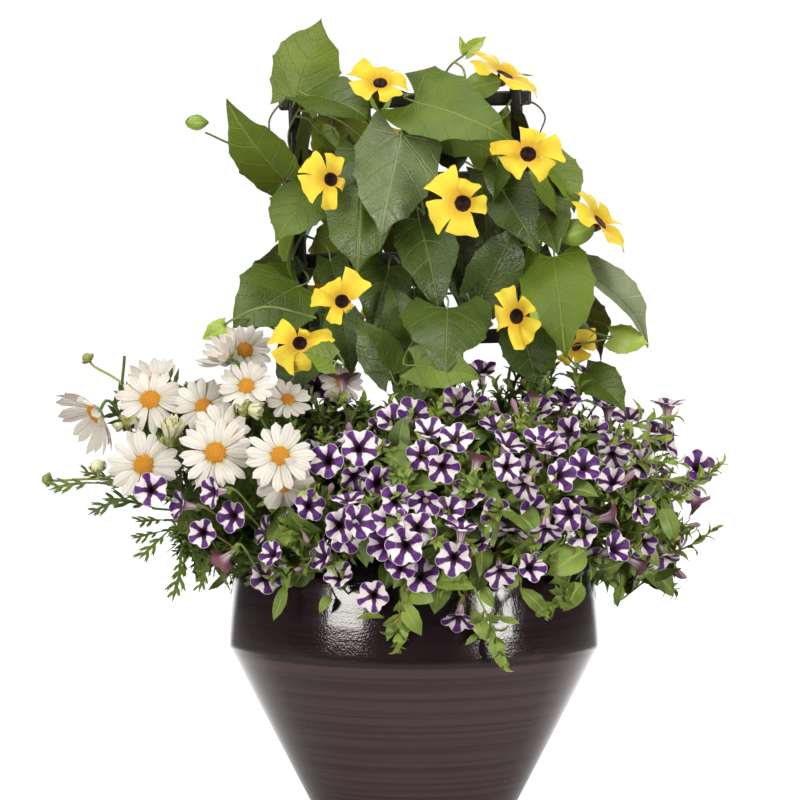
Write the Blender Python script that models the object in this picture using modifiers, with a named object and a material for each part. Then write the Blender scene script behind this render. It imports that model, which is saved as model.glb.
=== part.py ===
"""A planted patio pot: black-eyed susan vine on a ladder trellis, daisies and striped calibrachoa.

The origin is the centre of the pot's flat base, +Z is up and -Y is the front. Lengths are in metres.
The pot, the soil and the trellis are made things. Leaves, flowers and shoots are closed solids, each
seated on the stem or the leafy clump that carries it, with GAP between the two.
"""

import math
from dataclasses import dataclass

import bmesh
import bpy
from mathutils import Matrix, Vector
from mathutils.bvhtree import BVHTree

NAME = "black_eyed_susan_planter"
GAP = 0.0003  # the clearance between two pieces that touch

# pot, turned about the Z axis
BASE_RADIUS = 0.068
BREAK_RADIUS = 0.1524  # the widest ring, where the cone meets the shoulder
BREAK_HEIGHT = 0.161
RIM_RADIUS = 0.146
RIM_HEIGHT = 0.228
POT_WALL = 0.009
FLOOR_THICKNESS = 0.012
DRAIN_RADIUS = 0.006
DRAIN_CIRCLE = 0.030
DRAIN_COUNT = 3
POT_STEPS = 56
SOIL_TOP = 0.2135

# trellis: a ladder of two uprights with crossbars behind them
UPRIGHT_SPACING = 0.182
UPRIGHT_WIDTH = 0.010
UPRIGHT_DEPTH = 0.008
UPRIGHT_TOP = 0.620
UPRIGHT_FOOT = 0.140
UPRIGHT_LEAN = math.radians(-2.3)
TRELLIS_X = 0.0085  # the ladder's centre line at the soil
TRELLIS_Y = 0.020
BAR_LENGTH = 0.2075
BAR_HEIGHT = 0.012
BAR_DEPTH = 0.008
BAR_TOP = 0.606
BAR_PITCH = 0.065
BAR_COUNT = 6
BAR_SLOPE = math.radians(-1.3)  # the left ends hang lower
EDGE_BEVEL = 0.002

# plants
STEM_RADIUS = 0.0016
STALK_RADIUS = 0.0011
DAISY_STALK_RADIUS = 0.0013
STEM_POINT_SPACING = 0.012
BLADE_HALF_THICKNESS = 0.0007
SLOT_FRONT = 0.012  # the clumps leave a slot for the trellis: y from -SLOT_FRONT to SLOT_BACK
SLOT_BACK = 0.045
SLOT_SIDE = 0.116  # and x from -SLOT_SIDE to SLOT_SIDE
CLUMP_CORE = 0.030
CLUMP_BED_RADIUS = 0.129
CLUMP_STEP = 8.0  # degrees between the sections of a clump
CLUMP_SPACE = 0.25  # degrees between two clumps

COLOURS = {
    "glaze": (0.030, 0.014, 0.017, 0.12),
    "soil": (0.035, 0.022, 0.014, 0.95),
    "trellis": (0.010, 0.009, 0.009, 0.35),
    "vine_stem": (0.110, 0.180, 0.040, 0.60),
    "vine_leaf": (0.085, 0.210, 0.035, 0.50),
    "vine_petal": (0.900, 0.560, 0.020, 0.50),
    "daisy": (0.900, 0.880, 0.840, 0.60),
    "daisy_foliage": (0.080, 0.190, 0.030, 0.60),
    "calibrachoa": (0.090, 0.190, 0.040, 0.60),
}


@dataclass(frozen=True)
class Leaf:
    """A vine leaf: the stem that carries it, where its blade starts and ends, and how it faces."""

    stem: str
    base: tuple
    tip: tuple
    width: float
    facing: tuple = (0.0, -1.0, 0.25)
    arch: float = 0.10


@dataclass(frozen=True)
class Flower:
    """A vine flower: the stem that carries it, the centre of its face, its direction and width."""

    stem: str
    centre: tuple
    facing: tuple
    width: float


@dataclass(frozen=True)
class Daisy:
    """A daisy head on its stalk: centre, direction and width, and the clump that it grows from."""

    centre: tuple
    facing: tuple
    width: float
    clump: str = "daisy_clump_front"


@dataclass(frozen=True)
class Clump:
    """A plant's leafy mass: the range of angles round the pot, its reach, crown and hanging edge."""

    start: float
    end: float
    reach: float
    crown: float
    hang: float
    colour: str


STEMS = {
    "vine_stem_left": (
        (-0.050, 0.002, SOIL_TOP + GAP), (-0.056, 0.002, 0.250), (-0.072, -0.002, 0.330),
        (-0.066, 0.003, 0.400), (-0.080, -0.002, 0.470), (-0.074, 0.003, 0.530), (-0.086, 0.003, 0.620),
    ),
    "vine_stem_middle": (
        (0.000, 0.002, SOIL_TOP + GAP), (-0.002, 0.002, 0.260), (0.008, -0.002, 0.340),
        (0.000, 0.003, 0.420), (0.012, -0.002, 0.500), (0.004, 0.003, 0.570), (0.026, 0.000, 0.618),
        (0.052, -0.002, 0.652),
    ),
    "vine_stem_right": (
        (0.055, 0.002, SOIL_TOP + GAP), (0.060, 0.002, 0.260), (0.072, -0.002, 0.340),
        (0.070, 0.003, 0.410), (0.096, -0.002, 0.470), (0.090, 0.002, 0.530), (0.072, -0.002, 0.600),
    ),
}

LEAVES = {
    "vine_leaf_01": Leaf("vine_stem_left", (-0.091, -0.006, 0.616), (-0.075, -0.020, 0.669), 0.056, arch=0.0),
    "vine_leaf_02": Leaf("vine_stem_left", (-0.102, -0.010, 0.548), (-0.148, -0.060, 0.602), 0.052),
    "vine_leaf_03": Leaf("vine_stem_middle", (-0.011, -0.060, 0.578), (-0.026, -0.098, 0.495), 0.064),
    "vine_leaf_04": Leaf("vine_stem_left", (-0.050, -0.022, 0.560), (-0.040, -0.062, 0.467), 0.058),
    "vine_leaf_05": Leaf("vine_stem_middle", (0.012, -0.034, 0.597), (0.082, -0.062, 0.570), 0.056),
    "vine_leaf_06": Leaf("vine_stem_right", (0.058, -0.030, 0.528), (0.094, -0.066, 0.468), 0.044),
    "vine_leaf_07": Leaf("vine_stem_left", (-0.082, -0.022, 0.518), (-0.112, -0.050, 0.484), 0.044),
    "vine_leaf_08": Leaf("vine_stem_right", (0.114, -0.036, 0.476), (0.124, -0.080, 0.405), 0.056),
    "vine_leaf_09": Leaf("vine_stem_right", (0.133, -0.020, 0.466), (0.190, -0.040, 0.409), 0.022),
    "vine_leaf_10": Leaf("vine_stem_right", (0.149, -0.034, 0.412), (0.188, -0.046, 0.410), 0.024),
    "vine_leaf_11": Leaf("vine_stem_middle", (0.002, -0.030, 0.506), (0.022, -0.066, 0.438), 0.050),
    "vine_leaf_12": Leaf("vine_stem_middle", (0.026, -0.070, 0.440), (0.024, -0.118, 0.390), 0.062),
    "vine_leaf_13": Leaf("vine_stem_middle", (-0.018, -0.070, 0.385), (-0.046, -0.074, 0.430), 0.034),
    "vine_leaf_14": Leaf("vine_stem_left", (-0.092, -0.022, 0.455), (-0.142, -0.070, 0.424), 0.064),
    "vine_leaf_15": Leaf("vine_stem_middle", (-0.020, -0.030, 0.470), (-0.034, -0.056, 0.418), 0.044),
    "vine_leaf_16": Leaf("vine_stem_right", (0.106, -0.012, 0.558), (0.126, -0.040, 0.520), 0.036),
    "vine_leaf_17": Leaf(
        "vine_stem_left", (-0.070, 0.052, 0.560), (-0.050, 0.098, 0.480), 0.060, (0.0, 1.0, 0.25)
    ),
    "vine_leaf_18": Leaf(
        "vine_stem_right", (0.056, 0.054, 0.508), (0.040, 0.098, 0.430), 0.060, (0.0, 1.0, 0.25)
    ),
}

FLOWERS = {
    "vine_flower_01": Flower("vine_stem_middle", (-0.030, -0.058, 0.621), (0.00, -1.00, 0.10), 0.048),
    "vine_flower_02": Flower("vine_stem_middle", (0.075, -0.034, 0.626), (0.50, -0.50, 0.70), 0.054),
    "vine_flower_03": Flower("vine_stem_right", (0.093, -0.094, 0.556), (0.10, -0.78, 0.60), 0.060),
    "vine_flower_04": Flower("vine_stem_left", (-0.072, -0.076, 0.539), (0.55, -0.80, 0.00), 0.060),
    "vine_flower_05": Flower("vine_stem_middle", (0.034, -0.094, 0.520), (0.10, -1.00, 0.00), 0.060),
    "vine_flower_06": Flower("vine_stem_right", (0.151, -0.040, 0.506), (0.75, -0.55, 0.30), 0.046),
    "vine_flower_07": Flower("vine_stem_left", (-0.054, -0.090, 0.446), (-0.10, -1.00, 0.10), 0.056),
    "vine_flower_08": Flower("vine_stem_left", (-0.093, -0.100, 0.407), (0.00, -0.86, 0.45), 0.058),
    "vine_flower_09": Flower("vine_stem_right", (0.084, -0.104, 0.434), (-0.30, -0.95, 0.00), 0.056),
}

CLUMPS = {
    "daisy_clump_front": Clump(180.0, 226.0, 0.205, 0.300, 0.190, "daisy_foliage"),
    "calibrachoa_clump_left": Clump(226.0, 258.0, 0.190, 0.350, 0.192, "calibrachoa"),
    "calibrachoa_clump_front": Clump(258.0, 288.0, 0.185, 0.355, 0.188, "calibrachoa"),
    "calibrachoa_clump_right": Clump(288.0, 320.0, 0.200, 0.355, 0.188, "calibrachoa"),
    "calibrachoa_clump_far_right": Clump(320.0, 360.0, 0.230, 0.345, 0.194, "calibrachoa"),
    "calibrachoa_clump_back_right": Clump(0.0, 66.0, 0.215, 0.340, 0.190, "calibrachoa"),
    "calibrachoa_clump_back": Clump(66.0, 112.0, 0.190, 0.345, 0.190, "calibrachoa"),
    "daisy_clump_back": Clump(112.0, 180.0, 0.205, 0.315, 0.190, "daisy_foliage"),
}

DAISIES = {
    "daisy_01": Daisy((-0.210, -0.146, 0.318), (-0.10, -0.95, 0.25), 0.058),
    "daisy_02": Daisy((-0.155, -0.172, 0.327), (0.00, -0.95, 0.30), 0.056),
    "daisy_03": Daisy((-0.100, -0.178, 0.324), (0.10, -0.95, 0.25), 0.052, "calibrachoa_clump_left"),
    "daisy_04": Daisy((-0.212, -0.090, 0.365), (-0.20, -0.85, 0.50), 0.054),
    "daisy_05": Daisy((-0.158, -0.104, 0.362), (0.00, -0.80, 0.55), 0.050),
    "daisy_06": Daisy((-0.126, -0.080, 0.388), (0.05, -0.80, 0.60), 0.044, "calibrachoa_clump_left"),
    "daisy_07": Daisy((-0.152, -0.034, 0.405), (0.10, -0.60, 0.75), 0.042, "daisy_clump_back"),
    "daisy_08": Daisy((-0.256, -0.056, 0.346), (-0.85, -0.45, 0.30), 0.050),
    "daisy_09": Daisy((-0.222, -0.014, 0.389), (-0.20, -0.30, 0.90), 0.044, "daisy_clump_back"),
    "daisy_bud": Daisy((-0.297, -0.040, 0.299), (-0.95, -0.10, 0.30), 0.008),
}

SHOOTS = {
    "calibrachoa_shoot_front": ("calibrachoa_clump_right", (0.066, -0.206, 0.172), (0.069, -0.190, 0.150)),
    "calibrachoa_shoot_right": ("calibrachoa_clump_far_right", (0.236, -0.050, 0.300), (0.247, -0.060, 0.318)),
}


def clear_scene():
    """Remove everything that the file opened with."""
    for obj in list(bpy.data.objects):
        bpy.data.objects.remove(obj)


def material(name):
    """A Principled material from COLOURS: linear red, green and blue, then roughness."""
    red, green, blue, roughness = COLOURS[name]
    made = bpy.data.materials.new(name)
    made.use_nodes = True
    shader = made.node_tree.nodes["Principled BSDF"]
    shader.inputs["Base Color"].default_value = (red, green, blue, 1.0)
    shader.inputs["Roughness"].default_value = roughness
    shader.inputs["Metallic"].default_value = 0.0
    return made


def add_object(name, data, colour, collection, location=(0.0, 0.0, 0.0)):
    """Link new data as a named object with a material of its own."""
    obj = bpy.data.objects.new(name, data)
    obj.location = location
    data.materials.append(material(colour))
    collection.objects.link(obj)
    return obj


def turned(name, profile, colour, collection):
    """A solid turned about Z from its (radius, height) profile."""
    mesh = bpy.data.meshes.new(name)
    edges = [(i, i + 1) for i in range(len(profile) - 1)]
    mesh.from_pydata([(radius, 0.0, height) for radius, height in profile], edges, [])
    obj = add_object(name, mesh, colour, collection)
    screw = obj.modifiers.new("Turn", "SCREW")
    screw.steps = POT_STEPS
    screw.render_steps = POT_STEPS
    screw.use_merge_vertices = True
    screw.merge_threshold = 0.00005
    return obj


def block(name, size, location, turn, colour, collection):
    """A box of the given size, turned about Y."""
    mesh = bpy.data.meshes.new(name)
    form = bmesh.new()
    bmesh.ops.create_cube(form, size=1.0, matrix=Matrix.Diagonal((*size, 1.0)))
    form.to_mesh(mesh)
    form.free()
    obj = add_object(name, mesh, colour, collection, location)
    obj.rotation_euler = (0.0, turn, 0.0)
    return obj


def hide_cutter(obj):
    """Keep a cutting shape out of the finished model."""
    obj.hide_render = True
    obj.display_type = "WIRE"


def cut(obj, cutter):
    """Take a cutter's shape out of an object."""
    boolean = obj.modifiers.new("Cut " + cutter.name, "BOOLEAN")
    boolean.operation = "DIFFERENCE"
    boolean.solver = "EXACT"
    boolean.object = cutter


def pot_radius(height, inset=0.0):
    """The pot's outer radius at a height, less an inset."""
    if height <= BREAK_HEIGHT:
        share = height / BREAK_HEIGHT
        return BASE_RADIUS + (BREAK_RADIUS - BASE_RADIUS) * share - inset
    share = (height - BREAK_HEIGHT) / (RIM_HEIGHT - BREAK_HEIGHT)
    return BREAK_RADIUS + (RIM_RADIUS - BREAK_RADIUS) * share**1.5 - inset


def build_pot(parts, cutters):
    """The pot: a cone, a rounded break, a nearly upright shoulder and a rounded lip, and drain holes."""
    inner = [(0.0, FLOOR_THICKNESS), (pot_radius(FLOOR_THICKNESS, POT_WALL), FLOOR_THICKNESS)]
    inner += [(pot_radius(z, POT_WALL), z) for z in (BREAK_HEIGHT - 0.006, BREAK_HEIGHT + 0.004, 0.195)]
    lip = RIM_RADIUS - POT_WALL / 2
    rim = [
        (lip + POT_WALL / 2 * math.cos(angle), RIM_HEIGHT - POT_WALL / 2 * (1 - math.sin(angle)))
        for angle in (math.pi, 0.75 * math.pi, 0.5 * math.pi, 0.25 * math.pi, 0.0)
    ]
    outer = [(pot_radius(z), z) for z in (0.205, 0.185, BREAK_HEIGHT + 0.004)]
    outer += [(BREAK_RADIUS - 0.0006, BREAK_HEIGHT), (pot_radius(BREAK_HEIGHT - 0.006), BREAK_HEIGHT - 0.006)]
    foot = [(pot_radius(0.003), 0.003), (BASE_RADIUS - 0.002, 0.0), (0.0, 0.0)]
    pot = turned("pot", inner + rim + outer + foot, "glaze", parts)
    for index in range(DRAIN_COUNT):
        angle = math.tau * (index + 0.5) / DRAIN_COUNT
        form = bmesh.new()
        bmesh.ops.create_cone(
            form, cap_ends=True, segments=16, radius1=DRAIN_RADIUS, radius2=DRAIN_RADIUS,
            depth=3 * FLOOR_THICKNESS,
        )
        mesh = bpy.data.meshes.new(f"drain_{index + 1}")
        form.to_mesh(mesh)
        form.free()
        place = (DRAIN_CIRCLE * math.cos(angle), DRAIN_CIRCLE * math.sin(angle), FLOOR_THICKNESS / 2)
        drill = add_object(mesh.name, mesh, "glaze", cutters, place)
        hide_cutter(drill)
        cut(pot, drill)


def upright_place(side, height):
    """The centre of an upright (side -1 or 1) at a height, on its lean."""
    lean = (height - SOIL_TOP) * math.tan(UPRIGHT_LEAN)
    return (TRELLIS_X + lean + side * UPRIGHT_SPACING / 2, TRELLIS_Y, height)


def build_soil(parts, cutters):
    """The potting mix: it fills the pot, and the trellis feet stand in two sockets in it."""
    inset = POT_WALL + GAP
    low = FLOOR_THICKNESS + GAP
    profile = [(0.0, SOIL_TOP), (pot_radius(SOIL_TOP, inset) - 0.001, SOIL_TOP)]
    profile += [(pot_radius(z, inset) - 0.0005, z) for z in (0.195, BREAK_HEIGHT + 0.004, BREAK_HEIGHT - 0.006)]
    profile += [(pot_radius(low, inset), low), (0.0, low)]
    soil = turned("potting_mix", profile, "soil", parts)
    for side, label in ((-1, "left"), (1, "right")):
        top = SOIL_TOP + 0.010
        bottom = UPRIGHT_FOOT - GAP
        size = (UPRIGHT_WIDTH + 2 * GAP, UPRIGHT_DEPTH + 2 * GAP, (top - bottom) / math.cos(UPRIGHT_LEAN))
        place = upright_place(side, (top + bottom) / 2)
        socket = block(f"socket_{label}", size, place, UPRIGHT_LEAN, "soil", cutters)
        hide_cutter(socket)
        cut(soil, socket)


def build_trellis(parts):
    """Two leaning uprights and the crossbars fixed behind them."""
    for side, label in ((-1, "left"), (1, "right")):
        size = (UPRIGHT_WIDTH, UPRIGHT_DEPTH, (UPRIGHT_TOP - UPRIGHT_FOOT) / math.cos(UPRIGHT_LEAN))
        place = upright_place(side, (UPRIGHT_TOP + UPRIGHT_FOOT) / 2)
        upright = block(f"trellis_upright_{label}", size, place, UPRIGHT_LEAN, "trellis", parts)
        upright.modifiers.new("Edges", "BEVEL").width = EDGE_BEVEL
    bar_y = TRELLIS_Y + UPRIGHT_DEPTH / 2 + GAP + BAR_DEPTH / 2
    for index in range(BAR_COUNT):
        height = BAR_TOP - index * BAR_PITCH
        centre = upright_place(0, height)[0]
        size = (BAR_LENGTH, BAR_DEPTH, BAR_HEIGHT)
        place = (centre, bar_y, height)
        bar = block(f"trellis_bar_{index + 1}", size, place, BAR_SLOPE, "trellis", parts)
        bevel = bar.modifiers.new("Edges", "BEVEL")
        bevel.width = BAR_DEPTH * 0.3
        bevel.segments = 2


def smooth_route(points):
    """Points every STEM_POINT_SPACING or so along a smooth curve through the given ones."""
    knots = [Vector(point) for point in points]
    ends = [2 * knots[0] - knots[1], *knots, 2 * knots[-1] - knots[-2]]
    route = []
    for before, start, end, after in zip(ends, ends[1:], ends[2:], ends[3:]):
        count = max(1, round((end - start).length / STEM_POINT_SPACING))
        for index in range(count):
            t = index / count
            route.append(
                0.5 * (2 * start + (end - before) * t
                + (2 * before - 5 * start + 4 * end - after) * t**2
                + (3 * start - before - 3 * end + after) * t**3)
            )
    return route + [knots[-1]]


def build_stem(name, points, parts):
    """A climbing stem: a round tube. Returns its centre line."""
    route = smooth_route(points)
    curve = bpy.data.curves.new(name, "CURVE")
    curve.dimensions = "3D"
    curve.bevel_depth = STEM_RADIUS
    curve.bevel_resolution = 1
    curve.use_fill_caps = True
    spline = curve.splines.new("POLY")
    spline.points.add(len(route) - 1)
    for point, place in zip(spline.points, route):
        point.co = (*place, 1.0)
    add_object(name, curve, "vine_stem", parts)
    return route


def circle(radius, count=8, lobes=0.0):
    """A ring's (x, y) points; lobes pulls every other point in."""
    return [
        (
            radius * (1 - lobes * (index % 2)) * math.cos(math.tau * index / count),
            radius * (1 - lobes * (index % 2)) * math.sin(math.tau * index / count),
        )
        for index in range(count)
    ]


def loft(name, stations, across, colour, parts):
    """A closed body through unlike sections along a path.

    A station is (centre, direction, outline). across is the outlines' x axis at the last station, and
    it is carried back along the path without twisting. The object's origin is the first centre.
    """
    frames = []
    x_axis = Vector(across)
    for centre, direction, outline in reversed(stations):
        direction = Vector(direction).normalized()
        x_axis = (x_axis - direction * x_axis.dot(direction)).normalized()
        frames.append((Vector(centre), x_axis, direction.cross(x_axis), outline))
    frames.reverse()
    origin = frames[0][0].copy()
    form = bmesh.new()
    rings = [
        [form.verts.new(centre - origin + x * x_axis + y * y_axis) for x, y in outline]
        for centre, x_axis, y_axis, outline in frames
    ]
    for ring, following in zip(rings, rings[1:]):
        for index in range(len(ring)):
            after = (index + 1) % len(ring)
            form.faces.new((ring[index], ring[after], following[after], following[index]))
    form.faces.new(rings[0][::-1])
    form.faces.new(rings[-1])
    bmesh.ops.recalc_face_normals(form, faces=form.faces)
    mesh = bpy.data.meshes.new(name)
    form.to_mesh(mesh)
    form.free()
    return add_object(name, mesh, colour, parts, origin)


def seat_on_stem(route, target):
    """The point beside a stem, facing the target, where a stalk starts."""
    nearest = min(route, key=lambda point: (point - target).length)
    return nearest + (target - nearest).normalized() * (STEM_RADIUS + GAP)


def seat_on_clump(clump, target):
    """The point on a clump's surface that faces the target, and the surface's direction there."""
    tree = BVHTree.FromObject(clump, bpy.context.evaluated_depsgraph_get())
    local = target - clump.location
    place, normal, _, _ = tree.find_nearest(local)
    return place + clump.location + normal * GAP, normal


def blade_share(t):
    """A heart-shaped blade's half width at t along it, as a share of its greatest."""
    return min(1.0, 0.55 + 6.0 * t) * math.cos(math.pi / 2 * max(0.0, t - 0.16) / 0.84) ** 0.8


def build_leaf(name, leaf, routes, parts):
    """A stalk from the stem that widens into a heart-shaped blade, folded a little along its rib."""
    base = Vector(leaf.base)
    tip = Vector(leaf.tip)
    foot = seat_on_stem(routes[leaf.stem], base)
    along = tip - base
    facing = Vector(leaf.facing)
    facing = (facing - along.normalized() * facing.dot(along.normalized())).normalized()
    across = along.normalized().cross(facing)
    stalk = [(x * STALK_RADIUS, y * STALK_RADIUS) for x, y in ((-1, 0), (0, -1), (1, 0), (0, 1))]
    stations = [
        (foot, base - foot, stalk),
        (foot.lerp(base, 0.6), base - foot, stalk),
        (base, along, stalk),
    ]
    for t in (0.03, 0.12, 0.28, 0.46, 0.64, 0.80, 0.92, 1.0):
        half = max(0.0004, leaf.width / 2 * blade_share(t))
        fold = 0.18 * half
        outline = [(-half, -fold), (0.0, -BLADE_HALF_THICKNESS), (half, -fold), (0.0, BLADE_HALF_THICKNESS)]
        rise = facing * leaf.arch * along.length * 4 * t * (1 - t)
        stations.append((base + along * t + rise, along, outline))
    loft(name, stations, -across, "vine_leaf", parts)


def build_vine_flower(name, flower, routes, parts):
    """A stalk, two bracts closed round a tube, and a flat five-lobed face with a sunk throat."""
    centre = Vector(flower.centre)
    facing = Vector(flower.facing).normalized()
    radius = flower.width / 2
    calyx = centre - facing * 0.026
    foot = seat_on_stem(routes[flower.stem], calyx)
    toward = calyx - foot
    stalk = circle(STALK_RADIUS, 10)
    stations = [(foot, toward, stalk), (foot.lerp(calyx, 0.7), toward + facing * 0.01, stalk)]
    for back, size in ((0.0260, 0.0020), (0.0220, 0.0052), (0.0140, 0.0060), (0.0120, 0.0040), (0.0030, 0.0066)):
        stations.append((centre - facing * back, facing, circle(size, 10)))
    stations.append((centre - facing * 0.0008, facing, circle(radius, 10, 0.26)))
    stations.append((centre + facing * 0.0002, facing, circle(radius, 10, 0.26)))
    stations.append((centre, facing, circle(0.0045, 10)))
    stations.append((centre - facing * 0.0030, facing, circle(0.0038, 10)))
    loft(name, stations, facing.cross((0.0, 0.0, 1.0)), "vine_petal", parts)


def build_daisy(name, daisy, clumps, parts):
    """A stalk that rises from its clump, a green cup, a flat ring of rays and a domed disc."""
    centre = Vector(daisy.centre)
    facing = Vector(daisy.facing).normalized()
    radius = daisy.width / 2
    disc = min(0.0075, radius * 0.8)
    foot, normal = seat_on_clump(clumps[daisy.clump], centre - facing * 0.010)
    neck = centre - facing * (0.4 * disc + 0.004)
    stalk = circle(DAISY_STALK_RADIUS)
    stations = [
        (foot, normal, stalk),
        (foot + normal * 0.003, neck - foot, stalk),
        (foot.lerp(neck, 0.6), neck - foot, stalk),
        (neck, facing, stalk),
        (centre - facing * 0.003, facing, circle(disc * 0.8)),
        (centre - facing * 0.001, facing, circle(radius)),
        (centre, facing, circle(radius)),
        (centre + facing * 0.0008, facing, circle(disc)),
        (centre + facing * 0.0030, facing, circle(disc * 0.6)),
    ]
    loft(name, stations, facing.cross((0.0, 0.0, 1.0)), "daisy", parts)


def clump_outline(clump, angle):
    """A clump's section at an angle, as (radius, height): it lies on the soil and overhangs the rim."""
    depth = SLOT_FRONT if math.sin(angle) < 0 else SLOT_BACK
    to_depth = depth / max(abs(math.sin(angle)), 1e-6)
    to_side = SLOT_SIDE / max(abs(math.cos(angle)), 1e-6)
    core = max(CLUMP_CORE, min(to_depth, to_side))
    reach = clump.reach + 0.006 * math.sin(7 * angle)
    crown = clump.crown + 0.004 * math.sin(5 * angle)
    middle = (clump.hang + crown) / 2
    return [
        (core, SOIL_TOP + GAP),
        (CLUMP_BED_RADIUS, SOIL_TOP + GAP),
        (CLUMP_BED_RADIUS, RIM_HEIGHT + 2 * GAP),
        (RIM_RADIUS + 0.005, RIM_HEIGHT + 2 * GAP),
        (BREAK_RADIUS + 0.005, clump.hang),
        (reach - 0.016, clump.hang),
        (reach, middle - 0.020),
        (reach - 0.010, middle + 0.022),
        (reach - 0.042, crown - 0.012),
        (core, crown),
    ]


def build_clump(name, clump, parts):
    """A wedge of foliage round the pot's axis."""
    first = math.radians(clump.start + CLUMP_SPACE / 2)
    last = math.radians(clump.end - CLUMP_SPACE / 2)
    steps = round((clump.end - clump.start) / CLUMP_STEP)
    stations = []
    for index in range(steps + 1):
        angle = first + (last - first) * index / steps
        outward = Vector((math.cos(angle), math.sin(angle), 0.0))
        direction = outward.cross((0.0, 0.0, 1.0))
        stations.append(((0.0, 0.0, 0.0), direction, clump_outline(clump, angle)))
    across = (math.cos(last), math.sin(last), 0.0)
    return loft(name, stations, across, clump.colour, parts)


def build_shoot(name, clump, bend, tip, parts):
    """A leafy shoot that leaves its clump, bends and ends in a tuft."""
    bend = Vector(bend)
    tip = Vector(tip)
    foot, normal = seat_on_clump(clump, bend)
    stalk = circle(STALK_RADIUS)
    stations = [
        (foot, normal, stalk),
        (foot + normal * 0.003, bend - foot, stalk),
        (bend, tip - foot, circle(0.004)),
        (bend.lerp(tip, 0.4), tip - bend, circle(0.012)),
        (tip, tip - bend, circle(0.003)),
    ]
    loft(name, stations, (0.0, 1.0, 0.0), "calibrachoa", parts)


def main():
    """Build every part into a collection named for the object."""
    clear_scene()
    parts = bpy.data.collections.new(NAME)
    cutters = bpy.data.collections.new("cutters")
    bpy.context.scene.collection.children.link(parts)
    bpy.context.scene.collection.children.link(cutters)
    build_pot(parts, cutters)
    build_soil(parts, cutters)
    build_trellis(parts)
    routes = {name: build_stem(name, points, parts) for name, points in STEMS.items()}
    for name, leaf in LEAVES.items():
        build_leaf(name, leaf, routes, parts)
    for name, flower in FLOWERS.items():
        build_vine_flower(name, flower, routes, parts)
    clumps = {name: build_clump(name, clump, parts) for name, clump in CLUMPS.items()}
    bpy.context.view_layer.update()
    for name, daisy in DAISIES.items():
        build_daisy(name, daisy, clumps, parts)
    for name, (clump, bend, tip) in SHOOTS.items():
        build_shoot(name, clumps[clump], bend, tip, parts)


main()
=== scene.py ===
"""The looks of a planted patio pot: a vine on a trellis, daisies and striped calibrachoa.

Everything is in metres, +Z up, with the front towards -Y. Each class builds one sub-assembly in the
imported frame, and each finish is a small dataclass that makes its material.
"""

import logging
import math
from collections.abc import Callable
from dataclasses import dataclass, field, replace
from enum import Enum

import bpy
import numpy as np
from mathutils import Matrix, Vector, noise


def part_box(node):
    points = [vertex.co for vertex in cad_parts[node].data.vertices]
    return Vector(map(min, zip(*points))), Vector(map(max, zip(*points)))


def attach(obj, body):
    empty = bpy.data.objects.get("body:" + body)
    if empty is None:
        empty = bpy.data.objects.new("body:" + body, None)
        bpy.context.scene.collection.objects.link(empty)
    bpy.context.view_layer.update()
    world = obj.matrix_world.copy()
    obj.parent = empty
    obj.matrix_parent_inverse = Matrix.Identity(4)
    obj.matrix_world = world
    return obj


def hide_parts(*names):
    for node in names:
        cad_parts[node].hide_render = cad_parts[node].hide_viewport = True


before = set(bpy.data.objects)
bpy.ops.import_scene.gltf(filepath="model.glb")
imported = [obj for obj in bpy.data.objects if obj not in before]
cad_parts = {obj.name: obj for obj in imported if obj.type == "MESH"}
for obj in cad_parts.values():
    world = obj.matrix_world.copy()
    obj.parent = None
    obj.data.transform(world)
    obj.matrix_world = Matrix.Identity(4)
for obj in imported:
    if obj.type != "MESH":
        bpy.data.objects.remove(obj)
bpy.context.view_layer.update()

LOG = logging.getLogger("planter")
BODY = "root"
UP = Vector((0.0, 0.0, 1.0))
FRONT = Vector((0.0, -1.0, 0.0))
EVENLY = (1.0, 1.0, 1.0)
LEAF_TURN = 2.4  # radians round a stem from one leaf to the next


def mm(*values: float) -> tuple:
    """Lengths in millimetres, as metres."""
    return tuple(value / 1000 for value in values)


def numbered(stem: str, index: int, count: int) -> tuple:
    """The node that the item at an index stands for, or nothing past the last of count nodes."""
    return (f"{stem}_{index + 1:02d}",) if index < count else ()


def seeded(seed: int) -> np.random.RandomState:
    """A dataclass field that holds seeded random numbers."""
    return field(default_factory=lambda: np.random.RandomState(seed))


class Slot(Enum):
    """The record's material slots."""

    GLAZE = "glaze"
    MIX = "potting_mix"
    TRELLIS = "trellis_plastic"
    VINE_STEM = "vine_stem"
    VINE_LEAF = "vine_leaf"
    VINE_PETAL = "vine_petal"
    DAISY_PETAL = "daisy_petal"
    DAISY_GREEN = "daisy_foliage"
    CALIBRACHOA = "calibrachoa_foliage"


def tone(code: str) -> tuple[float, float, float]:
    """A colour written as a hex code, as linear red, green and blue.

    Args:
        code: Six hex digits.

    Returns:
        The linear components.
    """
    shares = [int(code[start : start + 2], 16) / 255 for start in (0, 2, 4)]
    return tuple(share / 12.92 if share <= 0.04045 else ((share + 0.055) / 1.055) ** 2.4 for share in shares)


# ---------------------------------------------------------------- shader maths


def by_maths(operation: str, swapped: bool = False) -> Callable:
    """Make a method of Link that adds one Math node.

    Args:
        operation: The node's operation.
        swapped: Whether the link is the value on the right.

    Returns:
        The method.
    """

    def method(self: "Link", *others: object) -> "Link":
        """Work the operation on the link and any other value."""
        values = (*others, self) if swapped else (self, *others)
        return self.recipe.node("ShaderNodeMath", {"operation": operation}, *values)

    return method


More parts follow.
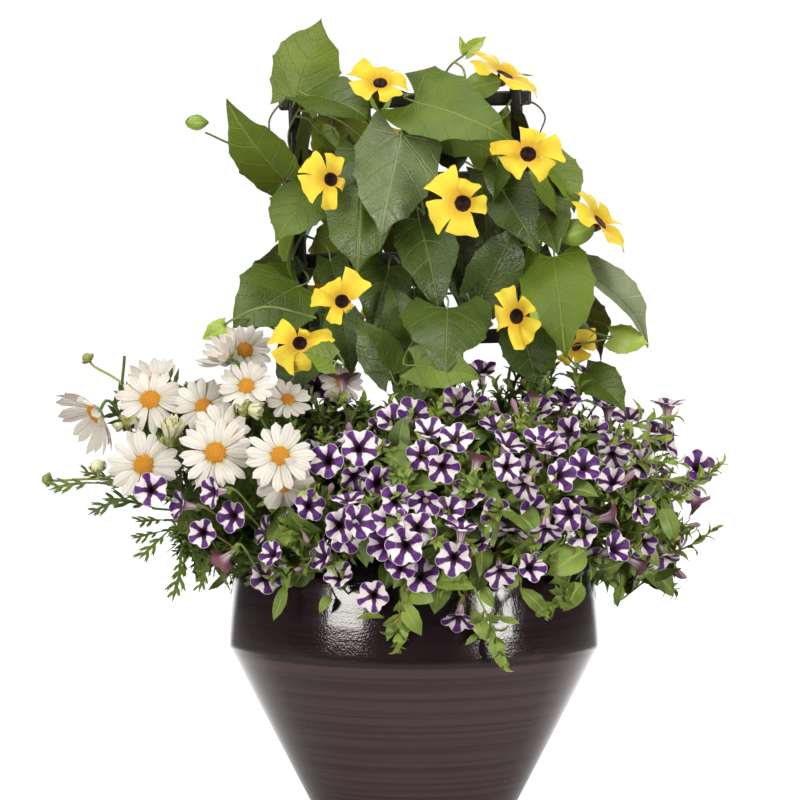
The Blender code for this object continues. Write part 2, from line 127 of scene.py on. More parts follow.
class Link:
    """A node's output socket, so that shader maths reads as an expression."""

    __add__, __radd__ = by_maths("ADD"), by_maths("ADD", swapped=True)
    __sub__, __rsub__ = by_maths("SUBTRACT"), by_maths("SUBTRACT", swapped=True)
    __mul__, __rmul__ = by_maths("MULTIPLY"), by_maths("MULTIPLY", swapped=True)
    __truediv__, __abs__ = by_maths("DIVIDE"), by_maths("ABSOLUTE")
    fraction, most = by_maths("FRACT"), by_maths("MAXIMUM")

    def __init__(self, recipe: "Recipe", socket: bpy.types.NodeSocket) -> None:
        """Wrap a socket.

        Args:
            recipe: The node tree that holds the socket's node.
            socket: The output.
        """
        self.recipe = recipe
        self.socket = socket

    def ease(self, low: float, high: float) -> "Link":
        """Go smoothly from 0 at low to 1 at high.

        Args:
            low: Where the result is 0.
            high: Where it is 1.

        Returns:
            The eased value.
        """
        smooth = {"interpolation_type": "SMOOTHSTEP"}
        return self.recipe.node("ShaderNodeMapRange", smooth, self, low, high, 0.0, 1.0)

    def ramp(self, low: float, high: float, start: float = 0.0, end: float = 1.0) -> "Link":
        """Go evenly from start at low to end at high."""
        return self.recipe.node("ShaderNodeMapRange", None, self, low, high, start, end)


class Recipe:
    """One material's node tree."""

    def __init__(self, name: str) -> None:
        """Start a Principled material.

        Args:
            name: The material's name.
        """
        self.material = bpy.data.materials.new(name)
        self.material.use_nodes = True
        self.tree = self.material.node_tree
        self.shader = self.tree.nodes["Principled BSDF"]

    def fill(self, socket: bpy.types.NodeSocket, value: object) -> None:
        """Fill an input.

        Args:
            socket: The input.
            value: A link, a plain value, a colour's hex code, or None to leave it alone.
        """
        if isinstance(value, Link):
            self.tree.links.new(value.socket, socket)
        elif value is not None:
            socket.default_value = (*tone(value), 1.0) if isinstance(value, str) else value

    def raw(self, kind: str, settings: dict | None = None, *values: object) -> bpy.types.Node:
        """Add a node, make its settings, then fill its inputs in order.

        Args:
            kind: The node's type.
            settings: Attributes set first.
            values: What fills the inputs.

        Returns:
            The node.
        """
        node = self.tree.nodes.new(kind)
        for key, value in (settings or {}).items():
            setattr(node, key, value)
        for socket, value in zip(node.inputs, values):
            self.fill(socket, value)
        return node

    def node(self, kind: str, settings: dict | None = None, *values: object, output: int | str = 0) -> Link:
        """Add a node and return one of its outputs, the first unless another is named."""
        return Link(self, self.raw(kind, settings, *values).outputs[output])

    def mix(self, share: object, first: object, second: object) -> Link:
        """Mix two colours.

        Args:
            share: How much of the second, from 0 to 1.
            first: A link or hex code.
            second: A link or hex code.

        Returns:
            The mixed colour.
        """
        values = (share, *[None] * 5, first, second)  # the colour inputs are the seventh and eighth
        return self.node("ShaderNodeMix", {"data_type": "RGBA"}, *values, output=2)

    def place(self, scale: tuple = EVENLY) -> Link:
        """The object's own coordinates, stretched by scale."""
        own = self.node("ShaderNodeTexCoord", output="Object")
        return self.node("ShaderNodeVectorMath", {"operation": "MULTIPLY"}, own, scale)

    def axes(self, vector: Link) -> tuple[Link, Link, Link]:
        """A vector's three components."""
        split = self.raw("ShaderNodeSeparateXYZ", None, vector)
        return tuple(Link(self, output) for output in split.outputs)

    def pattern(self) -> tuple[Link, Link]:
        """The piece's UV map, across and along."""
        across, along, _ = self.axes(self.node("ShaderNodeUVMap"))
        return across, along

    def tint(self) -> Link:
        """The random number from 0 to 1 that each leaf or flower carries."""
        return self.node("ShaderNodeAttribute", {"attribute_name": "tint"}, output="Fac")

    def grain(self, scale: float, detail: float = 2.0, rough: float = 0.5, stretch: tuple = EVENLY) -> Link:
        """A noise value from 0 to 1.

        Args:
            scale: Cells a metre.
            detail: Octaves.
            rough: How strong the fine octaves are.
            stretch: How many times finer it is along each axis.

        Returns:
            The noise.
        """
        return self.node("ShaderNodeTexNoise", None, self.place(stretch), None, scale, detail, rough)

    def net(self, scale: float) -> Link:
        """The distance from a cell's edge, as in a leaf's finest veins."""
        return self.node("ShaderNodeTexVoronoi", {"feature": "DISTANCE_TO_EDGE"}, self.place(), None, scale)

    def relief(self, height: Link, depth: float) -> None:
        """Drive the surface normal from a height.

        Args:
            height: The height, in units of depth.
            depth: Metres for a height of 1.
        """
        self.fill(self.shader.inputs["Normal"], self.node("ShaderNodeBump", None, 1.0, depth, None, height))

    def feed(self, **inputs: object) -> bpy.types.Material:
        """Fill the shader's inputs and hand over the material.

        Args:
            inputs: Socket names, with underscores for spaces, and links or values.

        Returns:
            The material.
        """
        for key, value in inputs.items():
            self.fill(self.shader.inputs[key.replace("_", " ")], value)
        return self.material


class Backdrop(Recipe):
    """The node tree of the floor or the world."""

    def __init__(self, holder: bpy.types.ID) -> None:
        """Empty the tree of a material or world."""
        holder.use_nodes = True
        self.tree = holder.node_tree
        self.tree.nodes.clear()

    def ray(self, kind: str) -> Link:
        """1 for the rays of a kind, 0 for the others."""
        return self.node("ShaderNodeLightPath", output=f"Is {kind} Ray")


# ---------------------------------------------------------------- finishes


@dataclass(frozen=True)
class GlazeFinish:
    """Glossy dark glaze with faint turning rings, an orange-peel skin and painted shade on the shoulder."""

    body: str = "4d383d"
    ring: str = "3d2b30"
    rust: str = "5a2620"
    # the colour of the painted shade on the shoulder above the break
    shoulder_shade: str = "190e12"

    def material(self) -> bpy.types.Material:
        """Make the material."""
        recipe = Recipe("glaze")
        rings = recipe.grain(1.0, 3.0, 0.62, stretch=(2.0, 2.0, 230.0))
        drift = recipe.grain(1.0, 2.0, stretch=(9.0, 9.0, 60.0))
        x, _, z = recipe.axes(recipe.place())
        worn = recipe.grain(1.0, stretch=(30.0, 30.0, 160.0)).ease(0.56, 0.7)
        seam = abs(z - 0.163).ease(0.006, 0.0) * worn
        base = recipe.mix(rings.ease(0.39, 0.61), self.ring, self.body)
        # painted shade: the shoulder above the break is darkened, though it is the same glaze as the cone
        base = recipe.mix(z.ease(0.16, 0.1614) * 0.8, base, self.shoulder_shade)
        base = recipe.mix(seam * x.ease(0.06, 0.12), base, self.rust)
        peel = recipe.grain(640.0, 1.0)
        recipe.relief(peel * 0.17 + drift * 0.3 + rings * 0.12, 0.0007)
        return recipe.feed(
            Base_Color=base, Roughness=0.09 + 0.1 * rings, IOR=1.5, Coat_Weight=0.45, Coat_Roughness=0.05
        )


@dataclass(frozen=True)
class SoilFinish:
    """Damp brown potting mix."""

    dark: str = "2a1d14"
    light: str = "5b4330"

    def material(self) -> bpy.types.Material:
        """Make the material."""
        recipe = Recipe("potting_mix")
        crumbs = recipe.grain(420.0, 4.0, 0.7)
        recipe.relief(crumbs, 0.0025)
        body = recipe.mix(crumbs.ease(0.35, 0.75), self.dark, self.light)
        return recipe.feed(Base_Color=body, Roughness=0.95)


@dataclass(frozen=True)
class PlasticFinish:
    """Black moulded plastic, satin, with a faint grain and dust."""

    body: str = "171414"
    dust: str = "37302e"

    def material(self) -> bpy.types.Material:
        """Make the material."""
        recipe = Recipe("trellis_plastic")
        streak = recipe.grain(1.0, 3.0, stretch=(260.0, 260.0, 40.0))
        speck = recipe.grain(900.0, 2.0)
        recipe.relief(speck * 0.4 + streak, 0.00012)
        return recipe.feed(
            Base_Color=recipe.mix(streak.ease(0.5, 0.85), self.body, self.dust), Roughness=0.32 + 0.2 * streak
        )


@dataclass(frozen=True)
class BladeFinish:
    """A vine leaf: palmate and feathered veins over a quilted, softly shining green."""

    name: str
    dark: str
    light: str
    vein: str
    shine: float = 0.35
    network: float = 0.14
    depth: float = 0.0006
    ior: float = 1.6

    def material(self) -> bpy.types.Material:
        """Make the material."""
        recipe = Recipe(self.name)
        across, along = recipe.pattern()
        drift = (recipe.grain(60.0) - 0.5) * 0.05
        side = abs(across + drift)
        rib = abs(across).ease(0.015, 0.003)
        lift = along + drift - side * 0.55 - side * side * 1.3
        branch = (lift * 4.4 + 0.32).fraction()
        feather = abs(branch - 0.5).ease(0.055, 0.0) * along.ease(0.03, 0.12)
        low = abs(side - along * 1.15 - 0.012).ease(0.014, 0.0) * along.ease(0.55, 0.3)
        fan = abs(along + side * 0.1 - 0.005).ease(0.012, 0.0) * side.ease(0.3, 0.2)
        veins = rib.most(feather * 0.75).most(low * 0.8).most(fan * 0.7)
        cells = recipe.net(360.0)
        mesh = cells.ease(0.1, 0.0)
        quilt = recipe.grain(42.0, 2.0)
        cloud = recipe.grain(16.0).ease(0.4, 0.68)
        tint = recipe.tint()
        body = recipe.mix(quilt.ease(0.3, 0.72) * 0.3 + tint * 0.7, self.dark, self.light)
        body = recipe.mix(cloud * 0.3, body, self.dark)
        body = recipe.mix(mesh * self.network, body, self.vein)
        body = recipe.mix(veins * 0.42, body, self.vein)
        recipe.relief(veins * -0.8 + cells.ease(0.0, 0.4) * 0.2 + quilt * 0.9, self.depth)
        return recipe.feed(
            Base_Color=body, Roughness=self.shine + 0.1 * quilt, IOR=self.ior, Subsurface_Weight=0.06,
            Subsurface_Scale=0.004,
        )


@dataclass(frozen=True)
class StalkFinish:
    """A stem or stalk that shades from one colour to another."""

    name: str
    one: str
    two: str

    def material(self) -> bpy.types.Material:
        """Make the material."""
        recipe = Recipe(self.name)
        blotch = recipe.grain(1.0, 3.0, stretch=(60.0, 60.0, 18.0))
        ribs = recipe.grain(1.0, stretch=(900.0, 900.0, 60.0))
        recipe.relief(ribs, 0.0002)
        return recipe.feed(
            Base_Color=recipe.mix(blotch.ease(0.38, 0.66) * 0.6 + recipe.tint() * 0.4, self.one, self.two),
            Roughness=0.55,
        )


@dataclass(frozen=True)
class SusanFinish:
    """A vine flower: yellow lobes, deeper towards a near-black throat."""

    yellow: str = "fad938"
    deep: str = "eeb81e"
    throat: str = "2c0a07"
    crease: str = "d4941a"

    def material(self) -> bpy.types.Material:
        """Make the material."""
        recipe = Recipe("vine_petal")
        across, along = recipe.pattern()
        lines = ((across * 9.0 + recipe.grain(60.0) * 1.5).fraction() - 0.5).ease(0.0, 0.5)
        body = recipe.mix(along.ease(0.55, 0.05), self.yellow, self.deep)
        body = recipe.mix(lines * 0.16 + recipe.grain(90.0).ease(0.55, 0.8) * 0.3, body, self.crease)
        ragged = along + (recipe.grain(520.0) - 0.5) * 0.06
        body = recipe.mix(ragged.ease(0.03, 0.014), body, self.throat)
        recipe.relief(lines * 0.5 + recipe.grain(160.0), 0.0005)
        return recipe.feed(Base_Color=body, Roughness=0.6, Subsurface_Weight=0.12, Subsurface_Scale=0.004)


@dataclass(frozen=True)
class RayFinish:
    """A daisy's rays: warm white with two long grooves and a greener foot; painted shade darkens the grooves
    and the inner end.
    """

    white: str = "e6dfd8"
    shade: str = "bfb3a3"
    foot: str = "c9c080"

    def material(self) -> bpy.types.Material:
        """Make the material."""
        recipe = Recipe("daisy_petal")
        across, along = recipe.pattern()
        groove = abs(abs(across) - 0.36).ease(0.16, 0.0)
        # the groove and inner-end terms are painted shade; the tint term is a real ray-to-ray tone
        share = groove * 0.3 + recipe.tint() * 0.4 + along.ease(0.5, 0.05) * 0.3
        body = recipe.mix(share, self.white, self.shade)
        body = recipe.mix(along.ease(0.2, 0.02) * 0.6, body, self.foot)
        recipe.relief(groove * -0.6, 0.0003)
        return recipe.feed(Base_Color=body, Roughness=0.62, Subsurface_Weight=0.1, Subsurface_Scale=0.003)


@dataclass(frozen=True)
class DiscFinish:
    """A daisy's eye: packed golden florets, browner at the edge."""

    gold: str = "e2a827"
    brown: str = "b86c14"

    def material(self) -> bpy.types.Material:
        """Make the material."""
        recipe = Recipe("daisy_disc")
        speck = recipe.grain(1500.0, 2.0)
        share = speck.ease(0.35, 0.65) * 0.35 + recipe.tint() * 0.55
        recipe.relief(speck, 0.0003)
        return recipe.feed(Base_Color=recipe.mix(share, self.gold, self.brown), Roughness=0.7)


@dataclass(frozen=True)
class BloomFinish:
    """A calibrachoa bloom: violet rays on white, a dark throat, and a mauve tube behind."""

    violet: str = "3c0a54"
    plum: str = "661a86"
    white: str = "ece1e4"
    throat: str = "3a1230"
    tube: str = "7d4a5c"
    pale: str = "cdb4c4"

    def material(self) -> bpy.types.Material:
        """Make the material."""
        recipe = Recipe("calibrachoa_petal")
        across, along = recipe.pattern()
        tint = recipe.tint()
        side = abs(across)
        wobble = (recipe.grain(420.0, 2.0) - 0.5) * 0.22
        width = 0.33 + tint * 0.33 + along.ease(0.54, 0.1) * 0.9 + wobble
        ray = (side - width).ease(0.11, -0.07)
        rim = along.ease(0.95, 1.0) * 0.75
        violet = recipe.mix(recipe.grain(260.0).ease(0.35, 0.7), self.violet, self.plum)
        violet = recipe.mix(along.ease(0.6, 0.25) * 0.7, violet, self.throat)
        front = recipe.mix(ray * (1.0 - rim), self.white, violet)
        front = recipe.mix(along.ease(0.34, 0.14), front, self.throat)
        behind = along - 2.0
        back = recipe.mix(behind.ease(0.62, 0.22), self.tube, self.pale)
        back = recipe.mix((side - 0.22).ease(0.12, 0.0) * behind.ease(0.95, 0.45) * 0.7, back, self.tube)
        base = recipe.mix(along.ease(1.45, 1.55), front, back)
        recipe.relief(recipe.grain(500.0), 0.0003)
        return recipe.feed(Base_Color=base, Roughness=0.62, Subsurface_Weight=0.06, Subsurface_Scale=0.002)


@dataclass(frozen=True)
class SmallLeafFinish:
    """Small foliage: a light midrib on a green that varies from leaf to leaf."""

    name: str
    dark: str
    light: str
    rib: str

    def material(self) -> bpy.types.Material:
        """Make the material."""
        recipe = Recipe(self.name)
        across, along = recipe.pattern()
        midrib = abs(across).ease(0.16, 0.02)
        side = ((along - abs(across) * 0.35) * 5.0).fraction()
        twigs = abs(side - 0.5).ease(0.12, 0.0) * 0.2
        cloud = recipe.grain(90.0)
        body = recipe.mix(recipe.tint() * 0.75 + cloud.ease(0.3, 0.7) * 0.25, self.dark, self.light)
        body = recipe.mix(midrib.most(twigs) * 0.35, body, self.rib)
        recipe.relief(midrib * -0.7 + cloud * 0.6, 0.0005)
        return recipe.feed(Base_Color=body, Roughness=0.5, Subsurface_Weight=0.06, Subsurface_Scale=0.003)


# ---------------------------------------------------------------- meshes


@dataclass
class Form:
    """A mesh as arrays: points, faces and the UV of each face corner."""

    points: np.ndarray
    faces: list
    uvs: np.ndarray

    @classmethod
    def taken(cls, obj: bpy.types.Object) -> "Form":
        """Read an object's mesh and remove the object.

        Args:
            obj: A mesh object at the origin.

        Returns:
            Its form.
        """
        mesh = obj.data
        points = np.array([vertex.co[:] for vertex in mesh.vertices])
        faces = [tuple(polygon.vertices) for polygon in mesh.polygons]
        corners = sum(len(face) for face in faces)
        uvs = np.zeros(corners * 2)
        if mesh.uv_layers:
            mesh.uv_layers[0].data.foreach_get("uv", uvs)
        bpy.data.objects.remove(obj)
        return cls(points, faces, uvs.reshape(-1, 2))

    def corner_points(self) -> np.ndarray:
        """The index of the point at each face corner."""
        return np.concatenate([np.array(face) for face in self.faces])

    def shaped(self, points: np.ndarray) -> "Form":
        """The same faces on moved points."""
        return Form(points, self.faces, self.uvs)

    def mapped(self, values: np.ndarray) -> "Form":
        """The same mesh with its UVs read from one pair of values a point."""
        return Form(self.points, self.faces, values[self.corner_points()])


def clean_slate() -> None:
    """Leave edit mode with nothing selected."""
    if bpy.context.mode != "OBJECT":
        bpy.ops.object.mode_set(mode="OBJECT")
    bpy.ops.object.select_all(action="DESELECT")


def pick(obj: bpy.types.Object) -> None:
    """Make an object the only selected one, and the active one."""
    clean_slate()
    bpy.context.view_layer.objects.active = obj
    obj.select_set(True)


def applied(obj: bpy.types.Object, kind: str, **settings: object) -> None:
    """Give an object a modifier and apply it.

    Args:
        obj: The object.
        kind: The modifier's type.
        settings: Its settings.
    """
    modifier = obj.modifiers.new(kind, kind)
    for key, value in settings.items():
        setattr(modifier, key, value)
    pick(obj)
    bpy.ops.object.modifier_apply(modifier=modifier.name)


def sheet_form(columns: int, rows: int) -> Form:
    """A flat grid, x from -1 to 1 and y from 0 to 1, with its UVs the same.

    Args:
        columns: Faces across.
        rows: Faces along.

    Returns:
        The form, ready to be shaped.
    """
    clean_slate()
    bpy.ops.mesh.primitive_grid_add(x_subdivisions=columns, y_subdivisions=rows, size=2.0, calc_uvs=True)
    bpy.ops.object.mode_set(mode="EDIT")
    bpy.ops.mesh.select_all(action="SELECT")
    bpy.ops.transform.translate(value=(0.0, 1.0, 0.0))
    bpy.ops.transform.resize(value=(1.0, 0.5, 1.0), center_override=(0.0, 0.0, 0.0))
    bpy.ops.object.mode_set(mode="OBJECT")
    form = Form.taken(bpy.context.object)
    return form.mapped(form.points[:, :2])


def turned_object(name: str, profile: list, segments: int, closed: bool) -> bpy.types.Object:
    """Extrude and scale a circle along a profile.

    Args:
        name: The object's name.
        profile: (radius, height) pairs.
        segments: Faces round.
        closed: Whether both ends are filled.

    Returns:
        The object, at the origin.
    """
    clean_slate()
    radius, height = profile[0]
    fill = "NGON" if closed else "NOTHING"
    bpy.ops.mesh.primitive_circle_add(
        vertices=segments, radius=radius, location=(0.0, 0.0, 0.0), fill_type=fill, calc_uvs=True
    )
    obj = bpy.context.object
    bpy.ops.object.mode_set(mode="EDIT")
    bpy.ops.mesh.select_all(action="SELECT")
    bpy.ops.transform.translate(value=(0.0, 0.0, height))
    for wider, higher in profile[1:]:
        bpy.ops.mesh.extrude_region_move(TRANSFORM_OT_translate={"value": (0.0, 0.0, higher - height)})
        ratio = wider / radius
        bpy.ops.transform.resize(value=(ratio, ratio, 1.0), center_override=(0.0, 0.0, higher))
        radius, height = wider, higher
    bpy.ops.mesh.select_all(action="SELECT")
    bpy.ops.mesh.normals_make_consistent(inside=False)
    bpy.ops.object.mode_set(mode="OBJECT")
    obj.name = name
    return obj


def ring_faces(rings: int, sides: int) -> list:
    """The faces between rings of points.

    Args:
        rings: How many rings.
        sides: Points in each.

    Returns:
        The faces, ring by ring.
    """
    return [
        (low + turn, low + (turn + 1) % sides, low + sides + (turn + 1) % sides, low + sides + turn)
        for low in range(0, (rings - 1) * sides, sides)
        for turn in range(sides)
    ]


def tube_form(route: list, radii: list, sides: int = 6, capped: bool = True) -> Form:
    """A round stem through points.

    Args:
        route: The centre line.
        radii: A radius for each of its points.
        sides: Faces round.
        capped: Whether its ends are closed.

    Returns:
        The form; UVs run round and along.
    """
    line = [Vector(point) for point in route]
    frames = []
    side = (line[1] - line[0]).orthogonal().normalized()
    for index, point in enumerate(line):
        ahead = line[min(index + 1, len(line) - 1)] - line[max(index - 1, 0)]
        ahead.normalize()
        side = (side - ahead * side.dot(ahead)).normalized()
        frames.append((point, side.copy(), ahead.cross(side)))
    points = []
    values = []
    for index, ((point, one, two), radius) in enumerate(zip(frames, radii)):
        for turn in range(sides):
            angle = math.tau * turn / sides
            points.append(point + float(radius) * (math.cos(angle) * one + math.sin(angle) * two))
            values.append((turn / sides, index / (len(line) - 1)))
    faces = ring_faces(len(line), sides)
    if capped:
        faces.append(tuple(range(sides - 1, -1, -1)))
        faces.append(tuple(range((len(line) - 1) * sides, len(line) * sides)))
    form = Form(np.array([point[:] for point in points]), faces, np.zeros((0, 2)))
    return form.mapped(np.array(values))


def frame_of(origin: Vector, along: Vector, facing: Vector, scale: float = 1.0) -> np.ndarray:
    """A 4 by 4 matrix whose Y runs along and whose Z looks out.

    Args:
        origin: Where the local origin goes.
        along: The local Y direction.
        facing: Roughly the local Z direction.
        scale: The size of one local unit.

    Returns:
        The matrix.
    """
    y_axis = Vector(along).normalized()
    z_axis = Vector(facing) - y_axis * y_axis.dot(facing)
    if z_axis.length < 1e-5:
        z_axis = y_axis.orthogonal()
    z_axis.normalize()
    x_axis = y_axis.cross(z_axis)
    matrix = np.eye(4)
    for column, axis in enumerate((x_axis, y_axis, z_axis)):
        matrix[:3, column] = np.array(axis) * scale
    matrix[:3, 3] = np.array(origin)
    return matrix


def standing(centre: Vector, facing: Vector, scale: float = 1.0) -> np.ndarray:
    """The matrix of a flower whose Z looks out and whose Y is as upright as can be."""
    upward = UP if abs(facing.z) < 0.9 else FRONT
    return frame_of(centre, upward - facing * facing.dot(upward), facing, scale)


def around(axis: Vector, angle: float) -> Vector:
    """The direction at an angle round an axis."""
    side = axis.orthogonal().normalized()
    return side * math.cos(angle) + axis.cross(side) * math.sin(angle)


def swerve(random: np.random.RandomState, spread: float) -> Vector:
    """A random step, normally spread on each axis."""
    return Vector(random.normal(0.0, spread, 3).tolist())


def within(random: np.random.RandomState, spread: tuple) -> Vector:
    """A random step inside a box with these half sides."""
    return Vector([random.uniform(-1.0, 1.0) * part for part in spread])


class Gather:
    """Copies of forms, put together as one piece."""

    def __init__(self) -> None:
        """Start empty."""
        self.points: list = []
        self.faces: list = []
        self.uvs: list = []
        self.tints: list = []
        self.count = 0

    def add(self, form: Form, matrix: np.ndarray | None = None, tint: float = 0.5) -> None:
        """Add one copy.

        Args:
            form: What is copied.
            matrix: Its place; None leaves it where it is.
            tint: The random number that its material reads.
        """
        points = form.points
        if matrix is not None:
            points = points @ matrix[:3, :3].T + matrix[:3, 3]
        self.points.append(points)
        self.faces += [tuple(index + self.count for index in face) for face in form.faces]
        self.uvs.append(form.uvs)
        self.tints.append(np.full(len(points), tint))
        self.count += len(points)

    def add_stem(self, knots: list, radii: list, sides: int = 6, tint: float = 0.5) -> None:
        """Add a stem through knots, with one point for each radius."""
        self.add(tube_form(curve_points(knots, len(radii)), radii, sides), None, tint)

    def piece(
        self, name: str, material: bpy.types.Material, slot: Slot, nodes: tuple = (), thickness: float = 0.0
    ) -> bpy.types.Object:
        """Make the object, dress it and let it ride on the body.

        Args:
            name: The piece's name.
            material: Its material.
            slot: The record's slot; not used.
            nodes: The solids that it stands for.
            thickness: A wall, for open sheets.

        Returns:
            The object.
        """
        mesh = bpy.data.meshes.new(name)
        mesh.from_pydata(np.concatenate(self.points).tolist(), [], self.faces)
        layer = mesh.uv_layers.new(name="UVMap")
        layer.data.foreach_set("uv", np.concatenate(self.uvs).ravel())
        attribute = mesh.attributes.new("tint", "FLOAT", "POINT")
        attribute.data.foreach_set("value", np.concatenate(self.tints))
        obj = bpy.data.objects.new(name, mesh)
        bpy.context.scene.collection.objects.link(obj)
        if thickness:
            applied(obj, "SOLIDIFY", thickness=thickness, offset=0.0)
        return dressed(obj, material, nodes)


def dressed(
    obj: bpy.types.Object, material: bpy.types.Material, nodes: tuple = (), crease: float = 60.0
) -> bpy.types.Object:
    """Shade an object smooth, give it its material and body, and report it.

    Args:
        obj: The finished piece.
        material: Its material.
        nodes: The solids that it stands for.
        crease: The angle in degrees past which an edge stays sharp.

    Returns:
        The object.
    """
    obj.data.materials.clear()
    obj.data.materials.append(material)
    pick(obj)
    bpy.ops.object.shade_smooth_by_angle(angle=math.radians(crease))
    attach(obj, BODY)
    if nodes:
        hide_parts(*nodes)
    LOG.info("%s: %d faces", obj.name, len(obj.data.polygons))
    return obj


def curve_points(knots: list, count: int) -> list:
    """Points spread along a smooth curve through knots.

    Args:
        knots: The points it passes.
        count: How many points come back.

    Returns:
        The points, as vectors.
    """
    line = [Vector(knot) for knot in knots]
    padded = [2 * line[0] - line[1], *line, 2 * line[-1] - line[-2]]
    found = []
    for index in range(count):
        at = (len(line) - 1) * index / (count - 1)
        span = min(int(at), len(line) - 2)
        t = at - span
        before, start, end, after = padded[span : span + 4]
        found.append(
            0.5 * (2 * start + (end - before) * t
            + (2 * before - 5 * start + 4 * end - after) * t**2
            + (3 * start - before - 3 * end + after) * t**3)
        )
    return found


# ---------------------------------------------------------------- pot, soil and trellis


@dataclass
class Pot:
    """The glazed pot: a cone, a rounded break, a nearly upright shoulder and a rolled lip."""

    foot_radius: float = 0.068
    break_radius: float = 0.1524
    break_height: float = 0.161
    rim_radius: float = 0.146
    wall: float = 0.009
    floor: float = 0.012
    drain_radius: float = 0.006
    drain_circle: float = 0.03
    softness: float = 0.0008
    segments: int = 160
    height: float = field(default_factory=lambda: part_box("pot")[1][2])

    def radius(self, height: float) -> float:
        """The outer radius at a height: a cone and a shoulder with a soft turn between them."""
        cone = self.foot_radius + (self.break_radius - self.foot_radius) * height / self.break_height
        share = max(0.0, height - self.break_height) / (self.height - self.break_height)
        shoulder = self.break_radius + (self.rim_radius - self.break_radius) * share**1.6
        least = min(cone, shoulder)
        blend = math.exp((least - cone) / self.softness) + math.exp((least - shoulder) / self.softness)
        return least - self.softness * math.log(blend)

    def profile(self) -> list:
        """The section, from the middle of the floor inside, over the lip and down to the foot."""
        corner = self.radius(self.floor) - self.wall - 0.004
        inner = [(0.001, self.floor), (0.04, self.floor), (corner, self.floor)]
        heights = np.linspace(self.floor + 0.004, self.height - 0.008, 14)
        inner += [(self.radius(z) - self.wall, z) for z in heights]
        half = self.wall / 2
        lip = [
            (self.rim_radius - half + half * math.cos(angle), self.height - half + half * math.sin(angle))
            for angle in np.linspace(math.pi, 0.0, 9)
        ]
        middle = self.break_height
        outer = [
            (self.radius(z), z)
            for start, end, count in (
                (self.height - 0.01, middle + 0.014, 8),
                (middle + 0.01, middle - 0.014, 13),
                (middle - 0.02, 0.004, 15),
            )
            for z in np.linspace(start, end, count)
        ]
        edge = self.foot_radius
        foot = [(edge + 0.0005, 0.0012), (edge - 0.002, 0.0), (0.05, 0.0), (0.001, 0.0)]
        return inner + lip + outer + foot

    def build(self) -> None:
        """Turn the pot and drill its floor."""
        pot = turned_object("glazed_pot", self.profile(), self.segments, closed=True)
        for index in range(3):
            angle = math.tau * (index + 0.5) / 3
            place = (self.drain_circle * math.cos(angle), self.drain_circle * math.sin(angle), self.floor / 2)
            clean_slate()
            bpy.ops.mesh.primitive_cylinder_add(
                vertices=32, radius=self.drain_radius, depth=3 * self.floor, location=place
            )
            drill = bpy.context.object
            applied(pot, "BOOLEAN", object=drill, operation="DIFFERENCE")
            bpy.data.objects.remove(drill)
        dressed(pot, GlazeFinish().material(), ("pot",), crease=40.0)


@dataclass
class Soil:
    """The potting mix, crumbly on top and following the pot below."""

    pot: Pot
    top: float = field(default_factory=lambda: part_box("potting_mix")[1][2])

    def build(self) -> None:
        """Turn the plug of soil and roughen its top."""
        gap = self.pot.wall + 0.0006
        low = self.pot.floor + 0.0004
        edge = self.pot.radius(self.top) - gap - 0.0005
        surface = [(radius, self.top) for radius in np.linspace(0.002, edge, 30)]
        wall = [(self.pot.radius(z) - gap, z) for z in np.linspace(self.top - 0.006, low, 10)]
        soil = turned_object("potting_mix_fill", surface + wall + [(0.002, low)], 96, closed=True)
        for vertex in soil.data.vertices:
            if vertex.co.z > self.top - 0.0001:
                bumps = noise.fractal(vertex.co * 160.0, 1.0, 2.0, 4)
                vertex.co.z += 0.0022 * bumps - 0.0012
        dressed(soil, SoilFinish().material(), ("potting_mix",))


@dataclass
class Trellis:
    """The ladder: two leaning uprights with round-ended crossbars behind them."""

    spacing: float = 0.182
    centre: float = 0.0085
    lean: float = math.radians(-2.3)
    depth: float = 0.02
    slope: float = math.radians(-1.3)
    soil: float = 0.2135
    bars: int = 6
    upright_size: tuple = (0.01, 0.008)
    bar_size: tuple = (0.2075, 0.012)
    edge: float = 0.0024

    def upright(self, side: int, height: float) -> Vector:
        """The centre of an upright (-1 left, 1 right, 0 the middle between them) at a height."""
        lean = (height - self.soil) * math.tan(self.lean)
        return Vector((self.centre + lean + side * self.spacing / 2, self.depth, height))

    def rail(
        self, name: str, node: str, size: tuple, centre: Vector, turn: float, finish: bpy.types.Material
    ) -> None:
        """One moulded rail: a box with rounded edges and tips.

        Args:
            name: The piece's name.
            node: The solid that it stands for.
            size: Its three sides.
            centre: Its middle.
            turn: Its lean about Y.
            finish: Its material.
        """
        clean_slate()
        bpy.ops.mesh.primitive_cube_add(size=1.0, location=(0.0, 0.0, 0.0))
        obj = bpy.context.object
        bpy.ops.object.mode_set(mode="EDIT")
        bpy.ops.mesh.select_all(action="SELECT")
        bpy.ops.transform.resize(value=size, center_override=(0.0, 0.0, 0.0))
        bpy.ops.mesh.bevel(offset=self.edge, segments=4, affect="EDGES")
        bpy.ops.object.mode_set(mode="OBJECT")
        cosine, sine = math.cos(turn), math.sin(turn)
        spin = np.array([[cosine, 0, sine], [0, 1, 0], [-sine, 0, cosine]])
        for vertex in obj.data.vertices:
            vertex.co = Vector(spin @ np.array(vertex.co)) + centre
        obj.name = name
        dressed(obj, finish, (node,), crease=35.0)

    def build(self) -> None:
        """Make the uprights and the crossbars."""
        finish = PlasticFinish().material()
        for side, label in ((-1, "left"), (1, "right")):
            low, high = (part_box(f"trellis_upright_{label}")[end][2] for end in (0, 1))
            size = (*self.upright_size, (high - low - 0.0004) / math.cos(self.lean))
            centre = self.upright(side, (low + high) / 2)
            self.rail(f"upright_{label}", f"trellis_upright_{label}", size, centre, self.lean, finish)
        for index in range(self.bars):
            node = f"trellis_bar_{index + 1}"
            low, high = (Vector(corner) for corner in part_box(node))
            size = (self.bar_size[0], high.y - low.y, self.bar_size[1])
            self.rail(f"crossbar_{index + 1}", node, size, (low + high) / 2, self.slope, finish)


# ---------------------------------------------------------------- the vine


